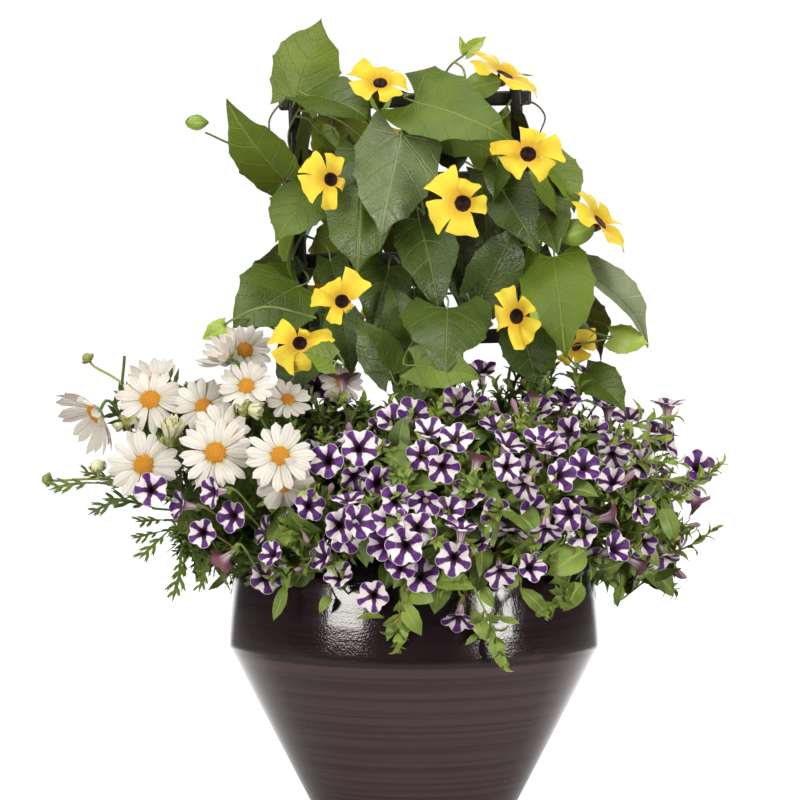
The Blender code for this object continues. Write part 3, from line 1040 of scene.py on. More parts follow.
@dataclass(frozen=True)
class Leaf:
    """A vine leaf: its stem, where its blade starts and ends, and how it is bent."""

    stem: str
    base: tuple
    tip: tuple
    width: float
    facing: tuple = (0.0, -1.0, 0.25)
    fold: float = 0.25
    arch: float = 0.08
    widest: float = 0.34
    look: str = ""
    shade: float = -1.0
    lobe: float = 0.17
    nodes: tuple = ()


EVEN_PETALS = ((90, 1.0, 24), (18, 0.95, 24), (-54, 1.0, 23), (-126, 0.96, 25), (162, 1.0, 23))


@dataclass(frozen=True)
class Susan:
    """A vine flower: its stem, the centre of its face, its direction, its width and its petals.

    Each petal has an angle, a reach and half a spread, in degrees and shares of the radius; back is
    the way the tube goes where it isn't straight behind the face.
    """

    stem: str
    centre: tuple
    facing: tuple
    width: float
    petals: tuple = EVEN_PETALS
    back: tuple = ()
    nodes: tuple = ()


def susans() -> list:
    """The vine's flowers, their lengths in millimetres; the first nine stand for nodes."""
    rows = (
        ("middle", (-27, -60, 616), (0, -0.74, 0.67), 55,
         ((140, 1.1, 22), (82, 0.84, 27), (10, 0.86, 24), (-61, 0.76, 27), (214, 0.94, 26))),
        ("middle", (72.5, -34, 624), (0.42, -0.3, 0.86), 67, EVEN_PETALS, (-0.95, -0.12, -0.18)),
        ("right", (89, -96, 559), (0.04, -0.97, 0.22), 61,
         ((78, 0.74, 27), (12, 0.97, 22), (-41, 0.82, 26), (217, 0.8, 27), (175, 1, 8))),
        ("left", (-66, -72, 539.5), (0.33, -0.92, 0.16), 55,
         ((142, 1, 23), (80, 0.8, 19), (200, 1.05, 23), (258, 0.92, 13), (-25, 0.48, 20))),
        ("middle", (38, -94, 520.5), (0.05, -1, 0.05), 63,
         ((131, 1.05, 25), (76, 0.68, 27), (-5, 0.64, 20), (264, 0.92, 25), (204, 1, 23))),
        ("right", (149, -40, 506), (0.72, -0.36, 0.6), 64, EVEN_PETALS, (-0.95, -0.12, -0.28)),
        ("left", (-57, -92, 443.5), (0.1, -0.97, 0.22), 55,
         ((58, 1.03, 24), (125, 0.74, 26), (172, 0.92, 16), (245, 0.76, 16), (-50, 0.38, 26))),
        ("left", (-90, -100, 411), (0.05, -0.97, 0.22), 54,
         ((153, 0.95, 25), (64, 0.5, 24), (17, 1, 11), (227, 1, 26), (270, 0.88, 18))),
        ("right", (80, -104, 432), (-0.5, -0.86, 0.08), 60,
         ((117, 0.86, 19), (185, 0.72, 27), (42, 0.64, 24), (-39, 0.86, 23), (-72, 0.9, 10))),
        ("right", (134, 20, 404), (0.35, -0.6, -0.5), 44),
        ("left", (-30, -10, 428), (0.2, -0.8, 0.5), 32),
        ("middle", (-20, 100, 560), (-0.1, 1, 0.2), 58),
        ("left", (-80, 90, 430), (-0.25, 1, 0.15), 56),
        ("right", (85, 95, 500), (0.2, 1, 0.1), 58),
    )
    return [
        Susan(stem, mm(*centre), facing, width / 1000, *rest, nodes=numbered("vine_flower", index, 9))
        for index, (stem, centre, facing, width, *rest) in enumerate(rows)
    ]


def vine_leaves() -> list:
    """The vine's leaves, their lengths in millimetres; the first eighteen stand for nodes."""
    back = (0.0, 1.0, 0.25)
    rows = (
        ("left", (-96, -12, 605), (-75, -20, 669), 57, (-0.15, -1, 0.2), -0.12, 0.02, 0.4, "fresh", 0.5),
        ("left", (-105, -10, 540), (-149, -60, 600), 46, (-0.4, -1, 0.1), 0.16, 0.05, 0.36, "fresh", 0.25),
        # leaf 03 takes the pale finish, whose lighter greens are a painted sheen
        ("middle", (-10, -60, 575), (-27, -86, 495), 68, (-0.05, -1, 0.04), -0.36, 0.04, 0.24,
         "pale", 0.75, 0.26),
        ("left", (-42, -40, 564), (-45, -76, 466), 54, (0.05, -1, 0.2), -0.36, 0.08, 0.52, "deep", 0.9),
        ("middle", (0, -44, 602), (82, -78, 568), 62, (-0.12, -0.9, 0.5), 0.12, 0.08, 0.14,
         "fresh", 0.12, 0.22),
        ("right", (62, -36, 546), (98, -75, 482), 46, (-0.05, -1, 0.2), 0.3, 0.1, 0.34, "deep", 0.05),
        ("left", (-82, -22, 528), (-111, -50, 492), 50, (-0.2, -1, 0.45), 0.15, 0.06, 0.34, "fresh", 0.15),
        ("right", (112, -36, 478), (120, -80, 402), 60, (-0.05, -1, 0.3), -0.16, 0.08, 0.3, "fresh", 0.45),
        ("right", (133, -20, 466), (189, -40, 409), 30, (0.45, -0.8, 0.35), 0.8, 0.14, 0.45, "under", 0.5),
        ("right", (158, -34, 414), (188, -46, 409), 25, (-0.2, -1, 0.3), -0.3, 0.05, 0.3, "young", 0.9),
        ("middle", (4, -30, 508), (20, -66, 436), 50, (0.05, -1, 0.2), 0.3, 0.1, 0.34, "deep", 0.2),
        ("middle", (26, -76, 438), (24, -122, 388), 72, (0, -0.9, 0.45), -0.2, 0.14, 0.15,
         "deep", 0.65, 0.24),
        ("middle", (-18, -70, 385), (-46, -80, 430), 36, (0.1, -1, 0.1), 0.25, 0.05, 0.34, "deep", 0.95),
        ("left", (-92, -22, 455), (-144, -62, 424), 66, (-0.1, -1, 0.35), 0.08, 0.05, 0.38, "deep", 0.9),
        ("middle", (-20, -30, 470), (-34, -56, 418), 44, (0, -1, 0.2), 0.3, 0.08, 0.34, "deep", 0.35),
        ("right", (106, -12, 556), (130, -40, 516), 36, (0.4, -0.8, 0.45), 0.4, 0.1, 0.34, "fresh", 0.3),
        ("left", (-70, 52, 560), (-50, 98, 480), 62, back),
        ("right", (56, 54, 508), (40, 98, 430), 62, back),
        ("left", (-86, -18, 608), (-30, -46, 583), 44, (0.1, -0.8, 0.65), 0.2, 0.12, 0.34, "deep", 0.9),
        ("middle", (16, -20, 584), (68, -46, 560), 44, (0, -1, 0.3), 0.2, 0.06, 0.34, "fresh", 0.15),
        ("middle", (28, -24, 573), (34, -40, 545), 34, (0, -1, 0.1), 0.2, 0.04, 0.34, "deep", 0),
        ("right", (66, -54, 552), (63, -66, 524), 22, (0, -1, 0.1), 0.7, 0.04, 0.34, "deep", 0.7),
        ("right", (116, -34, 522), (90, -58, 545), 42, (0.1, -0.8, 0.6), 0.12, 0.06, 0.45, "fresh", 0.2),
        ("right", (98, -30, 526), (114, -58, 482), 46, (0, -1, 0.25), 0.25, 0.06, 0.34, "deep", 0.9),
        ("middle", (31, -14, 494), (46, -40, 440), 44, (0, -1, 0.25), 0.3, 0.08, 0.34, "deep", 0),
        ("middle", (53, -30, 444), (82, -40, 506), 46, (0.2, -1, 0.1), 0.35, 0.05, 0.34, "deep", 0.3),
        ("middle", (0, -104, 394), (50, -126, 386), 36, (0, -1, 0.35), 0.12, 0.05, 0.4, "fresh", 0.35),
        ("middle", (0, -64, 405), (-20, -52, 456), 36, (0, -1, 0.1), 0.3, 0.05, 0.34, "deep", 0.45),
        ("left", (-64, -118, 398), (-86, -128, 405), 26, (0, -1, 0.3), 0.2, 0.05, 0.26, "fresh", 0.8),
        ("left", (-58, -34, 430), (-50, -50, 385), 36, (0, -1, 0.3), 0.25, 0.06, 0.34, "deep", 0.6),
        ("left", (-68, -16, 476), (-60, -30, 444), 28, (0.1, -1, 0.2), 0.2, 0.05, 0.34, "deep", 0.3),
        ("left", (-76, -8, 578), (-60, -16, 562), 20, (0.3, -1, 0.2), 0.5, 0.05),
        ("left", (-100, -14, 532), (-116, -26, 506), 12, (-0.4, -1, 0), 0.7, 0.12),
        ("right", (137, -22, 384), (170, -50, 355), 36, (0.3, -1, 0.5), 0.2, 0.08, 0.34, "deep", 0.8),
        ("left", (-150, -70, 424), (-168, -76, 413), 16, (0, -1, 0.1), 0.2, 0, 0.35, "young", 0.7),
        ("middle", (42, -3, 643), (58, -11, 656), 12, (0.2, -1, 0.2), 0.3, 0, 0.35, "young", 0.6),
        ("middle", (41, -2, 642), (37, -5, 657), 6, (0, -1, 0.2), 0.3, 0, 0.35, "young", 0.4),
        ("middle", (6, -34, 408), (-6, -70, 352), 50, (0, -1, 0.3), 0.25, 0.06, 0.34, "deep", 0.25),
        ("right", (86, -20, 420), (100, -50, 368), 46, (0.2, -1, 0.3), 0.25, 0.06, 0.34, "deep", 0.3),
        ("left", (-80, -30, 410), (-104, -56, 366), 46, (-0.2, -1, 0.3), 0.25, 0.06, 0.34, "deep", 0.2),
        ("middle", (-22, 0, 566), (-6, -16, 520), 44, (0, -1, 0.1), 0.2, 0.04, 0.34, "deep", 0.05),
        ("middle", (52, 4, 540), (60, -12, 492), 44, (0.1, -1, 0.1), 0.2, 0.04, 0.34, "deep", 0),
        ("middle", (0, 4, 452), (4, -14, 402), 48, (0, -1, 0.15), 0.2, 0.04, 0.34, "deep", 0),
        ("middle", (10, 50, 610), (30, 92, 552), 60, back),
        ("right", (60, 50, 590), (72, 85, 525), 54, (0.35, 1, 0.3)),
        ("left", (-52, 50, 600), (-70, 85, 535), 50, (-0.35, 1, 0.3)),
        ("left", (-50, 60, 500), (-70, 94, 425), 60, (-0.1, 1, 0.25)),
        ("middle", (-10, 62, 530), (6, 100, 450), 64, back),
        ("middle", (0, 54, 440), (-20, 100, 375), 60, back),
        ("right", (90, 56, 470), (110, 92, 400), 58, (0.2, 1, 0.25)),
        ("left", (-100, 40, 470), (-138, 62, 415), 54, (-0.4, 1, 0.3)),
        ("right", (120, 30, 450), (158, 50, 395), 50, (0.7, 0.6, 0.4)),
        ("right", (92, 30, 520), (128, 52, 468), 46, (0.8, 0.4, 0.4)),
        ("left", (-82, 34, 520), (-96, 68, 462), 48, (-0.8, 0.4, 0.4)),
        ("left", (-80, 22, 592), (-85, 34, 532), 50, (-1, 0.2, 0.25)),
        ("left", (-90, -12, 512), (-99, -20, 452), 50, (-1, -0.2, 0.25)),
        ("left", (-88, 18, 470), (-98, 28, 405), 54, (-1, 0.2, 0.25)),
        ("right", (78, 22, 592), (84, 34, 532), 50, (1, 0.2, 0.25)),
        ("right", (94, 0, 540), (102, -6, 480), 50, (1, -0.1, 0.25)),
        ("right", (100, 16, 480), (112, 24, 415), 54, (1, 0.2, 0.25)),
        ("middle", (10, 40, 400), (30, 92, 352), 56, back),
        ("left", (-70, 50, 420), (-96, 84, 360), 54, (-0.3, 1, 0.3)),
    )
    return [
        Leaf(stem, mm(*base), mm(*tip), width / 1000, *rest, nodes=numbered("vine_leaf", index, 18))
        for index, (stem, base, tip, width, *rest) in enumerate(rows)
    ]


@dataclass
class Vine:
    """The black-eyed susan vine: twining stems, leaves, flowers, buds and tendrils."""

    trellis: Trellis
    soil: float = 0.214
    stem_radius: float = 0.0016
    split: float = 0.41  # the share of a petal's reach at which its neighbours part from it
    leaf_wall: float = 0.00035
    petal_wall: float = 0.0003
    sheet: Form = field(default_factory=lambda: sheet_form(14, 30))
    random: np.random.RandomState = seeded(7)

    def __post_init__(self) -> None:
        """Find the stems' lines and make the materials."""
        self.lines = self.routes()
        self.finishes = {
            look: BladeFinish(f"vine_leaf_{look}", *values).material()
            for look, *values in (
                ("deep", "233808", "506917", "84964e", 0.36, 0.22, 0.0007, 1.5),
                # pale is the deep leaf finish in lighter greens: a painted sheen for leaf 03
                ("pale", "34491a", "6c8046", "9aa870", 0.36, 0.24, 0.0008, 1.7),
                ("fresh", "486212", "7b9222", "90a448", 0.46, 0.12, 0.0006, 1.5),
                ("young", "8aa832", "adc44e", "b8cc68", 0.35, 0.03, 0.0002),
                ("under", "66764e", "8c9a74", "c3cab0", 0.5),
            )
        }
        self.finishes |= {
            "stalk": StalkFinish("vine_stem", "7d9a4a", "6b6a3a").material(),
            "petal": SusanFinish().material(),
            "tube": StalkFinish("flower_tube", "8a5a3c", "6b3a2c").material(),
            "bract": SmallLeafFinish("vine_bract", "6a8a34", "a3bd52", "bcd07c").material(),
        }

    def routes(self) -> dict:
        """The centre line of each stem, as many points."""
        lines = {}
        for name, side, top, loops in (("left", -1, 0.618, 3.2), ("right", 1, 0.606, 3.0)):
            knots = [(side * 0.055, 0.0, self.soil), (side * 0.062, 0.0, 0.26)]
            for step in range(26):
                height = 0.3 + (top - 0.3) * step / 25
                centre = self.trellis.upright(side, height)
                angle = -math.pi / 2 + math.tau * loops * step / 25
                twist = Vector((-side * 0.0045 + 0.0105 * math.cos(angle), 0.0105 * math.sin(angle), 0.0))
                knots.append(centre + twist)
            lines[name] = curve_points(knots, 150)
        knots = (
            (-2, 2, 260), (8, 12, 320), (0, 38, 347), (10, 14, 380), (6, 12, 440), (12, 38, 476),
            (10, 14, 505), (4, 36, 543), (12, 12, 575), (20, 12, 612), (28, 0, 631), (41, -2, 642),
        )
        lines["middle"] = curve_points([(0.0, 0.002, self.soil), *(mm(*knot) for knot in knots)], 120)
        return lines

    def blade(self, leaf: Leaf) -> Form:
        """The shaped blade in its own frame: x across, y along and z out."""
        u, v = self.sheet.points[:, 0], self.sheet.points[:, 1]
        length = (Vector(leaf.tip) - Vector(leaf.base)).length
        edge = np.abs(u)
        widest = leaf.widest
        rise = np.clip(v / widest, 0.0, 1.0)
        fall = np.clip((v - widest) / (1.0 - widest), 0.0, 1.0)
        taper = np.clip(np.cos(math.pi / 2 * fall**1.08), 0.0, 1.0) ** 1.15
        half = np.where(v < widest, 0.66 + 0.34 * np.sin(math.pi / 2 * rise), taper) * leaf.width / 2
        phase = self.random.uniform(0.0, 1.0)
        tooth = np.clip(1.0 - np.abs(((v * 5.0 + phase + 0.25 * np.sign(u)) % 1.0) - 0.5) * 4.5, 0.0, 1.0)
        half = half * (1.0 + (0.085 * tooth - 0.02) * edge**8)
        x = u * half
        notch = leaf.lobe * edge**1.6 * (1.0 - v) ** 5
        y = length * (v - notch + 0.02 * edge**6 * np.sin(v * 19.0 + phase * 9.0))
        ripple = 0.035 * leaf.width * edge**2 * np.sin(v * 8.0 + phase * 6.28 + np.sign(u) * 1.3)
        z = leaf.fold * np.abs(x) + 4.0 * leaf.arch * length * v * (1.0 - v) + ripple
        z = z - 0.1 * length * np.clip(v - 0.7, 0.0, 1.0) ** 2 * 8.0 * (leaf.arch > 0.03)
        pleat = np.abs((((v - edge * 0.5) * 5.0 + 0.35) % 1.0) - 0.5) * 2.0
        z = z + 0.01 * leaf.width * pleat * edge * (1.0 - edge) * 4.0
        values = np.stack([x / length, y / length], axis=1)
        return self.sheet.shaped(np.stack([x, y, z], axis=1)).mapped(values)

    def add_leaf(self, name: str, leaf: Leaf) -> None:
        """Make a leaf's blade.

        Args:
            name: The piece's name.
            leaf: What is made.
        """
        base = Vector(leaf.base)
        matrix = frame_of(base, Vector(leaf.tip) - base, Vector(leaf.facing).normalized())
        tint = self.random.uniform(0.1, 0.9)
        look = leaf.look or ("fresh" if tint > 0.62 else "deep")
        gather = Gather()
        gather.add(self.blade(leaf), matrix, tint if leaf.shade < 0 else leaf.shade)
        gather.piece(name, self.finishes[look], Slot.VINE_LEAF, leaf.nodes, self.leaf_wall)

    def stalk_knots(self, leaf: Leaf, line: list) -> list:
        """The knots of a stalk that springs from the stem and bends into the blade.

        Args:
            leaf: The leaf that it carries.
            line: The stem's centre line.

        Returns:
            The knots.
        """
        base = Vector(leaf.base)
        along = Vector(leaf.tip) - base
        facing = Vector(leaf.facing).normalized()
        foot = min(line, key=lambda point: (point - base).length)
        reach = (base - foot).length
        middle = foot.lerp(base, 0.5) + UP * reach * 0.12 + facing * reach * 0.1
        entry = base - along.normalized() * min(0.01, reach * 0.3) + facing * 0.001
        return [foot, middle, entry, base + along * 0.06 + facing * 0.0006]

    def corolla(self, susan: Susan) -> Form:
        """Five notched lobes round a dark throat, facing local +Z."""
        petal = sheet_form(10, 10)
        u, v = petal.points[:, 0], petal.points[:, 1]
        radius = susan.width / 2
        forms = []
        petals = sorted((angle % 360, reach, spread) for angle, reach, spread in susan.petals)
        for index, (angle, reach, spread) in enumerate(petals):
            before = petals[index - 1][0] - (360 if index == 0 else 0)
            after = petals[(index + 1) % 5][0] + (360 if index == 4 else 0)
            left, right = (angle + after) / 2 - angle, (angle - before) / 2
            base = np.where(u > 0, left, right)
            slant = self.random.choice([-1.0, 1.0])
            spread *= 1.17
            inner = 0.195 * radius
            corner = radius * reach
            bow = math.cos(math.radians(spread)) / np.cos(np.radians(u * spread))
            wave = 0.035 * slant * u + 0.02 * np.sin(u * 6.0 + index) - 0.05 * np.abs(u) ** 12
            far = corner * (1.0 + (bow - 1.0 + wave) * v**2)
            distance = inner + (far - inner) * v
            share = np.clip((distance / corner - self.split) / (1.0 - self.split), 0.0, 1.0)
            inner_sine = self.split * np.sin(np.radians(base))
            sine = (1.0 - share) * inner_sine + share * math.sin(math.radians(spread))
            wedge = np.degrees(np.arcsin(np.clip(sine / np.maximum(distance / corner, self.split), 0.0, 1.0)))
            half = np.abs(u) * np.where(share > 0.0, wedge, base)
            turn = np.radians(angle + np.sign(u) * half + 2.0 * np.sin(v * 5.0 + index))
            fold = max(0.0, (22 - spread) / 22)
            curl = self.random.uniform(-0.05, 0.2)
            z = radius * (0.1 * np.sin(v * 2.2) - curl * v**2.5 + (0.05 + 0.22 * fold) * u**2 * v)
            z = z + radius * 0.045 * np.sin(u * 4.0 + index * 1.7) * v**2
            points = np.stack([distance * np.cos(turn), distance * np.sin(turn), z], axis=1)
            forms.append(petal.shaped(points))
        rim = ((0.2, 0.0002), (0.155, -0.0018), (0.11, -0.0045), (0.01, -0.006))
        throat = turned_form([(share * radius, height) for share, height in rim], 24)
        forms.append(throat.mapped(np.full((len(throat.points), 2), -0.5)))
        return merged(forms)

    def add_susan(self, name: str, susan: Susan) -> None:
        """Make a flower: its corolla, its brown tube, and its two bracts with the stalk.

        Args:
            name: The flower's name.
            susan: What is made.
        """
        centre, facing = Vector(susan.centre), Vector(susan.facing).normalized()
        corolla = Gather()
        corolla.add(self.corolla(susan), standing(centre, facing), self.random.uniform(0.0, 1.0))
        corolla.piece(f"{name}_petals", self.finishes["petal"], Slot.VINE_PETAL, susan.nodes, self.petal_wall)
        behind = (Vector(susan.back) if susan.back else -facing).normalized()
        neck = centre - facing * 0.006
        knots = [centre - facing * 0.0012, neck, neck + behind * 0.009, neck + behind * 0.018]
        tube = Gather()
        radii = np.linspace(0.0054, 0.0022, 10)
        tube.add(tube_form(curve_points(knots, 10), radii, 14, capped=False), None, 0.3)
        tube.piece(f"{name}_tube", self.finishes["tube"], Slot.VINE_PETAL, thickness=0.0004)
        clasp = standing(neck, -behind, 1.3 if susan.back else 1.0)
        green = Gather()
        for side in (-1, 1):
            green.add(self.bract(side), clasp, self.random.uniform(0.3, 0.9))
        calyx = neck + behind * 0.024
        line = self.lines[susan.stem]
        foot = min(line, key=lambda point: (point - calyx).length)
        sag = foot.lerp(calyx, 0.5) + UP * (foot - calyx).length * 0.1
        knots = [foot, sag, calyx + behind * 0.004, calyx - behind * 0.004]
        green.add_stem(knots, [0.001] * 9 + [0.0012, 0.0018, 0.0022])
        green.piece(f"{name}_bracts", self.finishes["bract"], Slot.VINE_LEAF)

    def bract(self, side: int) -> Form:
        """One of the two broad bracts that clasp the tube."""
        sheet = sheet_form(6, 10)
        u, v = sheet.points[:, 0], sheet.points[:, 1]
        swell = np.sin(math.pi * np.clip(v * 0.94 + 0.06, 0.0, 1.0) ** 0.8) ** 0.6
        angle = math.pi / 2 * (1 + side) + u * 1.35 * swell
        radius = 0.0016 + 0.0074 * np.sin(math.pi / 2 * np.clip(v / 0.55, 0.0, 1.0)) - 0.0012 * v**3
        points = np.stack([radius * np.cos(angle), radius * np.sin(angle), -0.0255 + 0.0245 * v], axis=1)
        return sheet.shaped(points)

    def build(self) -> None:
        """Grow the whole vine."""
        stalk = self.finishes["stalk"]
        for name, line in self.lines.items():
            gather = Gather()
            radii = [self.stem_radius * (1.0 - 0.45 * index / len(line)) for index in range(len(line))]
            gather.add(tube_form(line, radii, 8), None, 0.3)
            gather.piece(f"climbing_stem_{name}", stalk, Slot.VINE_STEM, (f"vine_stem_{name}",))
        stalks = Gather()
        for index, leaf in enumerate(vine_leaves()):
            self.add_leaf(f"leaf_{index + 1:02d}", leaf)
            knots = self.stalk_knots(leaf, self.lines[leaf.stem])
            stalks.add_stem(knots, np.linspace(0.0012, 0.0007, 12), 6, self.random.uniform(0.0, 1.0))
        for index, susan in enumerate(susans()):
            self.add_susan(f"susan_{index + 1:02d}", susan)
        stalks.piece("leaf_stalks", stalk, Slot.VINE_STEM)
        self.add_tendrils()

    def add_tendrils(self) -> None:
        """The loose loops of stem, and the flower buds on their long stalks."""
        loops = (
            ((-94, 4, 612), (-104, -10, 606), (-117, -16, 588), (-112, -10, 568), (-96, 4, 560)),
            ((84, 10, 600), (96, -4, 603), (106, -10, 592), (102, -8, 578)),
            ((-66, 0, 600), (-66, -12, 580), (-56, -14, 568), (-30, -10, 566)),
            ((-70, 0, 556), (-50, -14, 560), (-30, -16, 560)),
        )
        bud_stalks = (
            ((-102, 0, 556), (-140, -20, 566), (-168, -28, 578)),
            ((90, 0, 400), (118, -20, 404), (160, -34, 413)),
            ((-78, -74, 430), (-118, -86, 439), (-151, -72, 425)),
        )
        gather, buds, stems = Gather(), Gather(), Gather()
        for loop in loops:
            gather.add_stem([mm(*knot) for knot in loop], np.linspace(0.001, 0.0007, 24), 6, 0.9)
        gather.piece("tendrils", StalkFinish("tendril", "7a6a45", "5f4636").material(), Slot.VINE_STEM)
        for knots in bud_stalks:
            stems.add_stem([mm(*knot) for knot in knots], np.linspace(0.001, 0.0008, 16), 6, 0.4)
        way = Vector((-0.9, -0.2, 0.4))
        for side in (-1, 1):
            buds.add(self.bract(side), frame_of(Vector((-0.184, -0.033, 0.586)), UP, way, 0.75), 0.6)
        stems.piece("bud_stalks", self.finishes["stalk"], Slot.VINE_STEM)
        buds.piece("vine_bud", self.finishes["bract"], Slot.VINE_LEAF)


def turned_form(profile: list, segments: int) -> Form:
    """A surface turned about Z, with UVs round and along.

    Args:
        profile: (radius, height) pairs.
        segments: Faces round.

    Returns:
        The form.
    """
    points = [
        (radius * math.cos(math.tau * turn / segments), radius * math.sin(math.tau * turn / segments), height)
        for radius, height in profile
        for turn in range(segments)
    ]
    last = len(profile) - 1
    values = [(turn / segments, ring / last) for ring in range(last + 1) for turn in range(segments)]
    form = Form(np.array(points), ring_faces(len(profile), segments), np.zeros((0, 2)))
    return form.mapped(np.array(values))


# ---------------------------------------------------------------- forms for small foliage


def strap_form(route: list, halves: list, thick: float, normal: Vector, fold: float = 0.0) -> Form:
    """A thin closed leaf along a route, four faces round, with its midrib in the middle.

    Args:
        route: The midrib's points.
        halves: Half the width at each of them.
        thick: The thickness at the midrib.
        normal: Roughly the side that faces outward.
        fold: How far the margins rise, as a share of the half width.

    Returns:
        The form; UVs run across and along.
    """
    line = [Vector(point) for point in route]
    points = []
    for index, (point, half) in enumerate(zip(line, halves)):
        ahead = line[min(index + 1, len(line) - 1)] - line[max(index - 1, 0)]
        across = ahead.cross(normal).normalized()
        out = across.cross(ahead).normalized()
        half = float(half)
        lift = out * (half * fold)
        points += [point - across * half + lift, point + out * thick / 2]
        points += [point + across * half + lift, point - out * thick / 2]
    last = len(line) - 1
    faces = [*ring_faces(len(line), 4), (3, 2, 1, 0), tuple(last * 4 + turn for turn in range(4))]
    uvs = []
    for ring in range(last):
        low, high = ring / last, (ring + 1) / last
        for one, two in ((-1.0, 0.0), (0.0, 1.0), (1.0, 0.0), (0.0, -1.0)):
            uvs += [(one, low), (two, low), (two, high), (one, high)]
    uvs += [(0.0, 0.0)] * 4 + [(0.0, 1.0)] * 4
    return Form(np.array([point[:] for point in points]), faces, np.array(uvs))


def merged(forms: list) -> Form:
    """Several forms as one."""
    gather = Gather()
    for form in forms:
        gather.add(form)
    return Form(np.concatenate(gather.points), gather.faces, np.concatenate(gather.uvs))


def leaflet(widest: float, width: float, droop: float, rings: int = 5) -> Form:
    """A simple leaf one unit long: x across, y along and z out.

    Args:
        widest: Where along it is widest.
        width: Its full width.
        droop: How far the tip bends back.
        rings: Points along the midrib.

    Returns:
        The form.
    """
    shares = np.linspace(0.0, 1.0, rings)
    power = math.log(0.5) / math.log(widest)
    halves = 0.5 * width * np.sin(math.pi * shares**power) ** 0.85 + 0.012
    halves[-1] = 0.006
    route = [(0.0, share, 0.16 * math.sin(math.pi * share) - droop * share**2) for share in shares]
    return strap_form(route, halves, 0.03, UP, 0.3)


def feathered(random: np.random.RandomState, toothed: bool) -> Form:
    """A daisy's leaf one unit long, cut into lobes.

    Args:
        random: Where its bend and its lobes' sizes come from.
        toothed: Whether each lobe has a tooth.

    Returns:
        The form.
    """
    bend = random.uniform(-0.25, 0.35)

    def spine(share: float) -> Vector:
        """The midrib's point at a share of its length."""
        rise = 0.1 * math.sin(math.pi * share) - bend * share**2
        return Vector((0.1 * bend * math.sin(3 * share), share, rise))

    midrib = [spine(share) for share in (0.0, 0.3, 0.6, 0.85, 1.0)]
    forms = [strap_form(midrib, [0.02, 0.034, 0.058, 0.052, 0.008], 0.02, UP)]
    for at, reach in ((0.34, 0.2), (0.56, 0.3), (0.76, 0.24)):
        for side in (-1, 1):
            foot = spine(at + 0.04 * side)
            size = reach * random.uniform(0.75, 1.2)
            out = Vector((side * size, size * 0.85, random.uniform(-0.15, 0.08) * size))
            route = [foot, foot + out * 0.55, foot + out]
            forms.append(strap_form(route, [0.03, 0.052, 0.006], 0.018, UP))
            if toothed:
                tooth = Vector((side * size * 0.2, size * 0.55, 0.0))
                start = foot + out * 0.5
                forms.append(strap_form([start, start + tooth], [0.034, 0.006], 0.016, UP))
    return merged(forms)


# ---------------------------------------------------------------- the mound of plants


@dataclass
class Mound:
    """The outer surface of the planting, round the pot's axis."""

    turns: tuple = (0, 33, 89, 146, 203, 242, 273, 304, 340, 360)
    reaches: tuple = (0.218, 0.208, 0.183, 0.19, 0.184, 0.182, 0.182, 0.192, 0.222, 0.218)
    crowns: tuple = (0.345, 0.34, 0.345, 0.315, 0.305, 0.345, 0.355, 0.355, 0.35, 0.345)
    hangs: tuple = (0.2, 0.2, 0.2, 0.206, 0.224, 0.226, 0.229, 0.226, 0.206, 0.2)
    levels: tuple = (-0.15, 0.0, 0.35, 0.62, 0.9, 1.0, 1.25)
    insets: tuple = (0.034, 0.02, 0.0, 0.01, 0.044, 0.085, 0.12)

    def limits(self, turn: float) -> tuple[float, float, float]:
        """Reach, crown and hang at an azimuth in degrees."""
        turn = turn % 360
        rows = (self.reaches, self.crowns, self.hangs)
        return tuple(float(np.interp(turn, self.turns, row)) for row in rows)

    def radius(self, turn: float, height: float) -> float:
        """How far the surface stands from the axis at a height."""
        reach, crown, hang = self.limits(turn)
        level = (height - hang) / (crown - hang)
        return reach - float(np.interp(level, self.levels, self.insets))

    def front(self, x: float, height: float) -> Vector:
        """The surface point nearest the front at x and a height."""
        y = -0.15
        for _ in range(6):
            radius = self.radius(math.degrees(math.atan2(y, x)), height)
            y = -math.sqrt(max(radius**2 - x**2, 0.012**2))
        return Vector((x, y, height))

    def spot(self, turn: float, share: float) -> tuple[Vector, Vector]:
        """A surface point and its outward direction.

        Args:
            turn: The azimuth in degrees.
            share: 0 at the bottom of the mound, 1 by the trellis.

        Returns:
            The point and the unit normal.
        """
        reach, crown, hang = self.limits(turn)
        radii = [reach - inset for inset in self.insets[1:6]] + [0.045]
        heights = [hang + (crown - hang) * level for level in self.levels[1:6]] + [crown]
        marks = np.concatenate([[0.0], np.cumsum(np.hypot(np.diff(radii), np.diff(heights)))])
        at = share * marks[-1]
        radius, height = float(np.interp(at, marks, radii)), float(np.interp(at, marks, heights))
        step = 0.02
        rise = float(np.interp(at + step, marks, heights) - np.interp(at - step, marks, heights))
        inward = float(np.interp(at + step, marks, radii) - np.interp(at - step, marks, radii))
        outward = Vector((math.cos(math.radians(turn)), math.sin(math.radians(turn)), 0.0))
        normal = (outward * rise - UP * inward).normalized()
        return outward * radius + UP * height, normal


class Aim(Enum):
    """Which way a bloom looks."""

    FRONT = (0.0, -1.0, 0.15)
    RAISED = (0.0, -0.72, 0.7)
    SKY = (0.1, -0.15, 1.0)
    LEFT = (-0.55, -0.85, 0.2)
    RIGHT = (0.55, -0.85, 0.15)
    DOWN = (0.05, -0.8, -0.6)
    WEST = (-0.95, -0.3, 0.05)
    EAST = (0.9, -0.25, 0.05)
    NORTH_EAST = (0.7, -0.1, 0.75)
    SOUTH_EAST = (0.8, -0.1, -0.5)
    SOUTH_WEST = (-0.6, 0.2, -0.75)


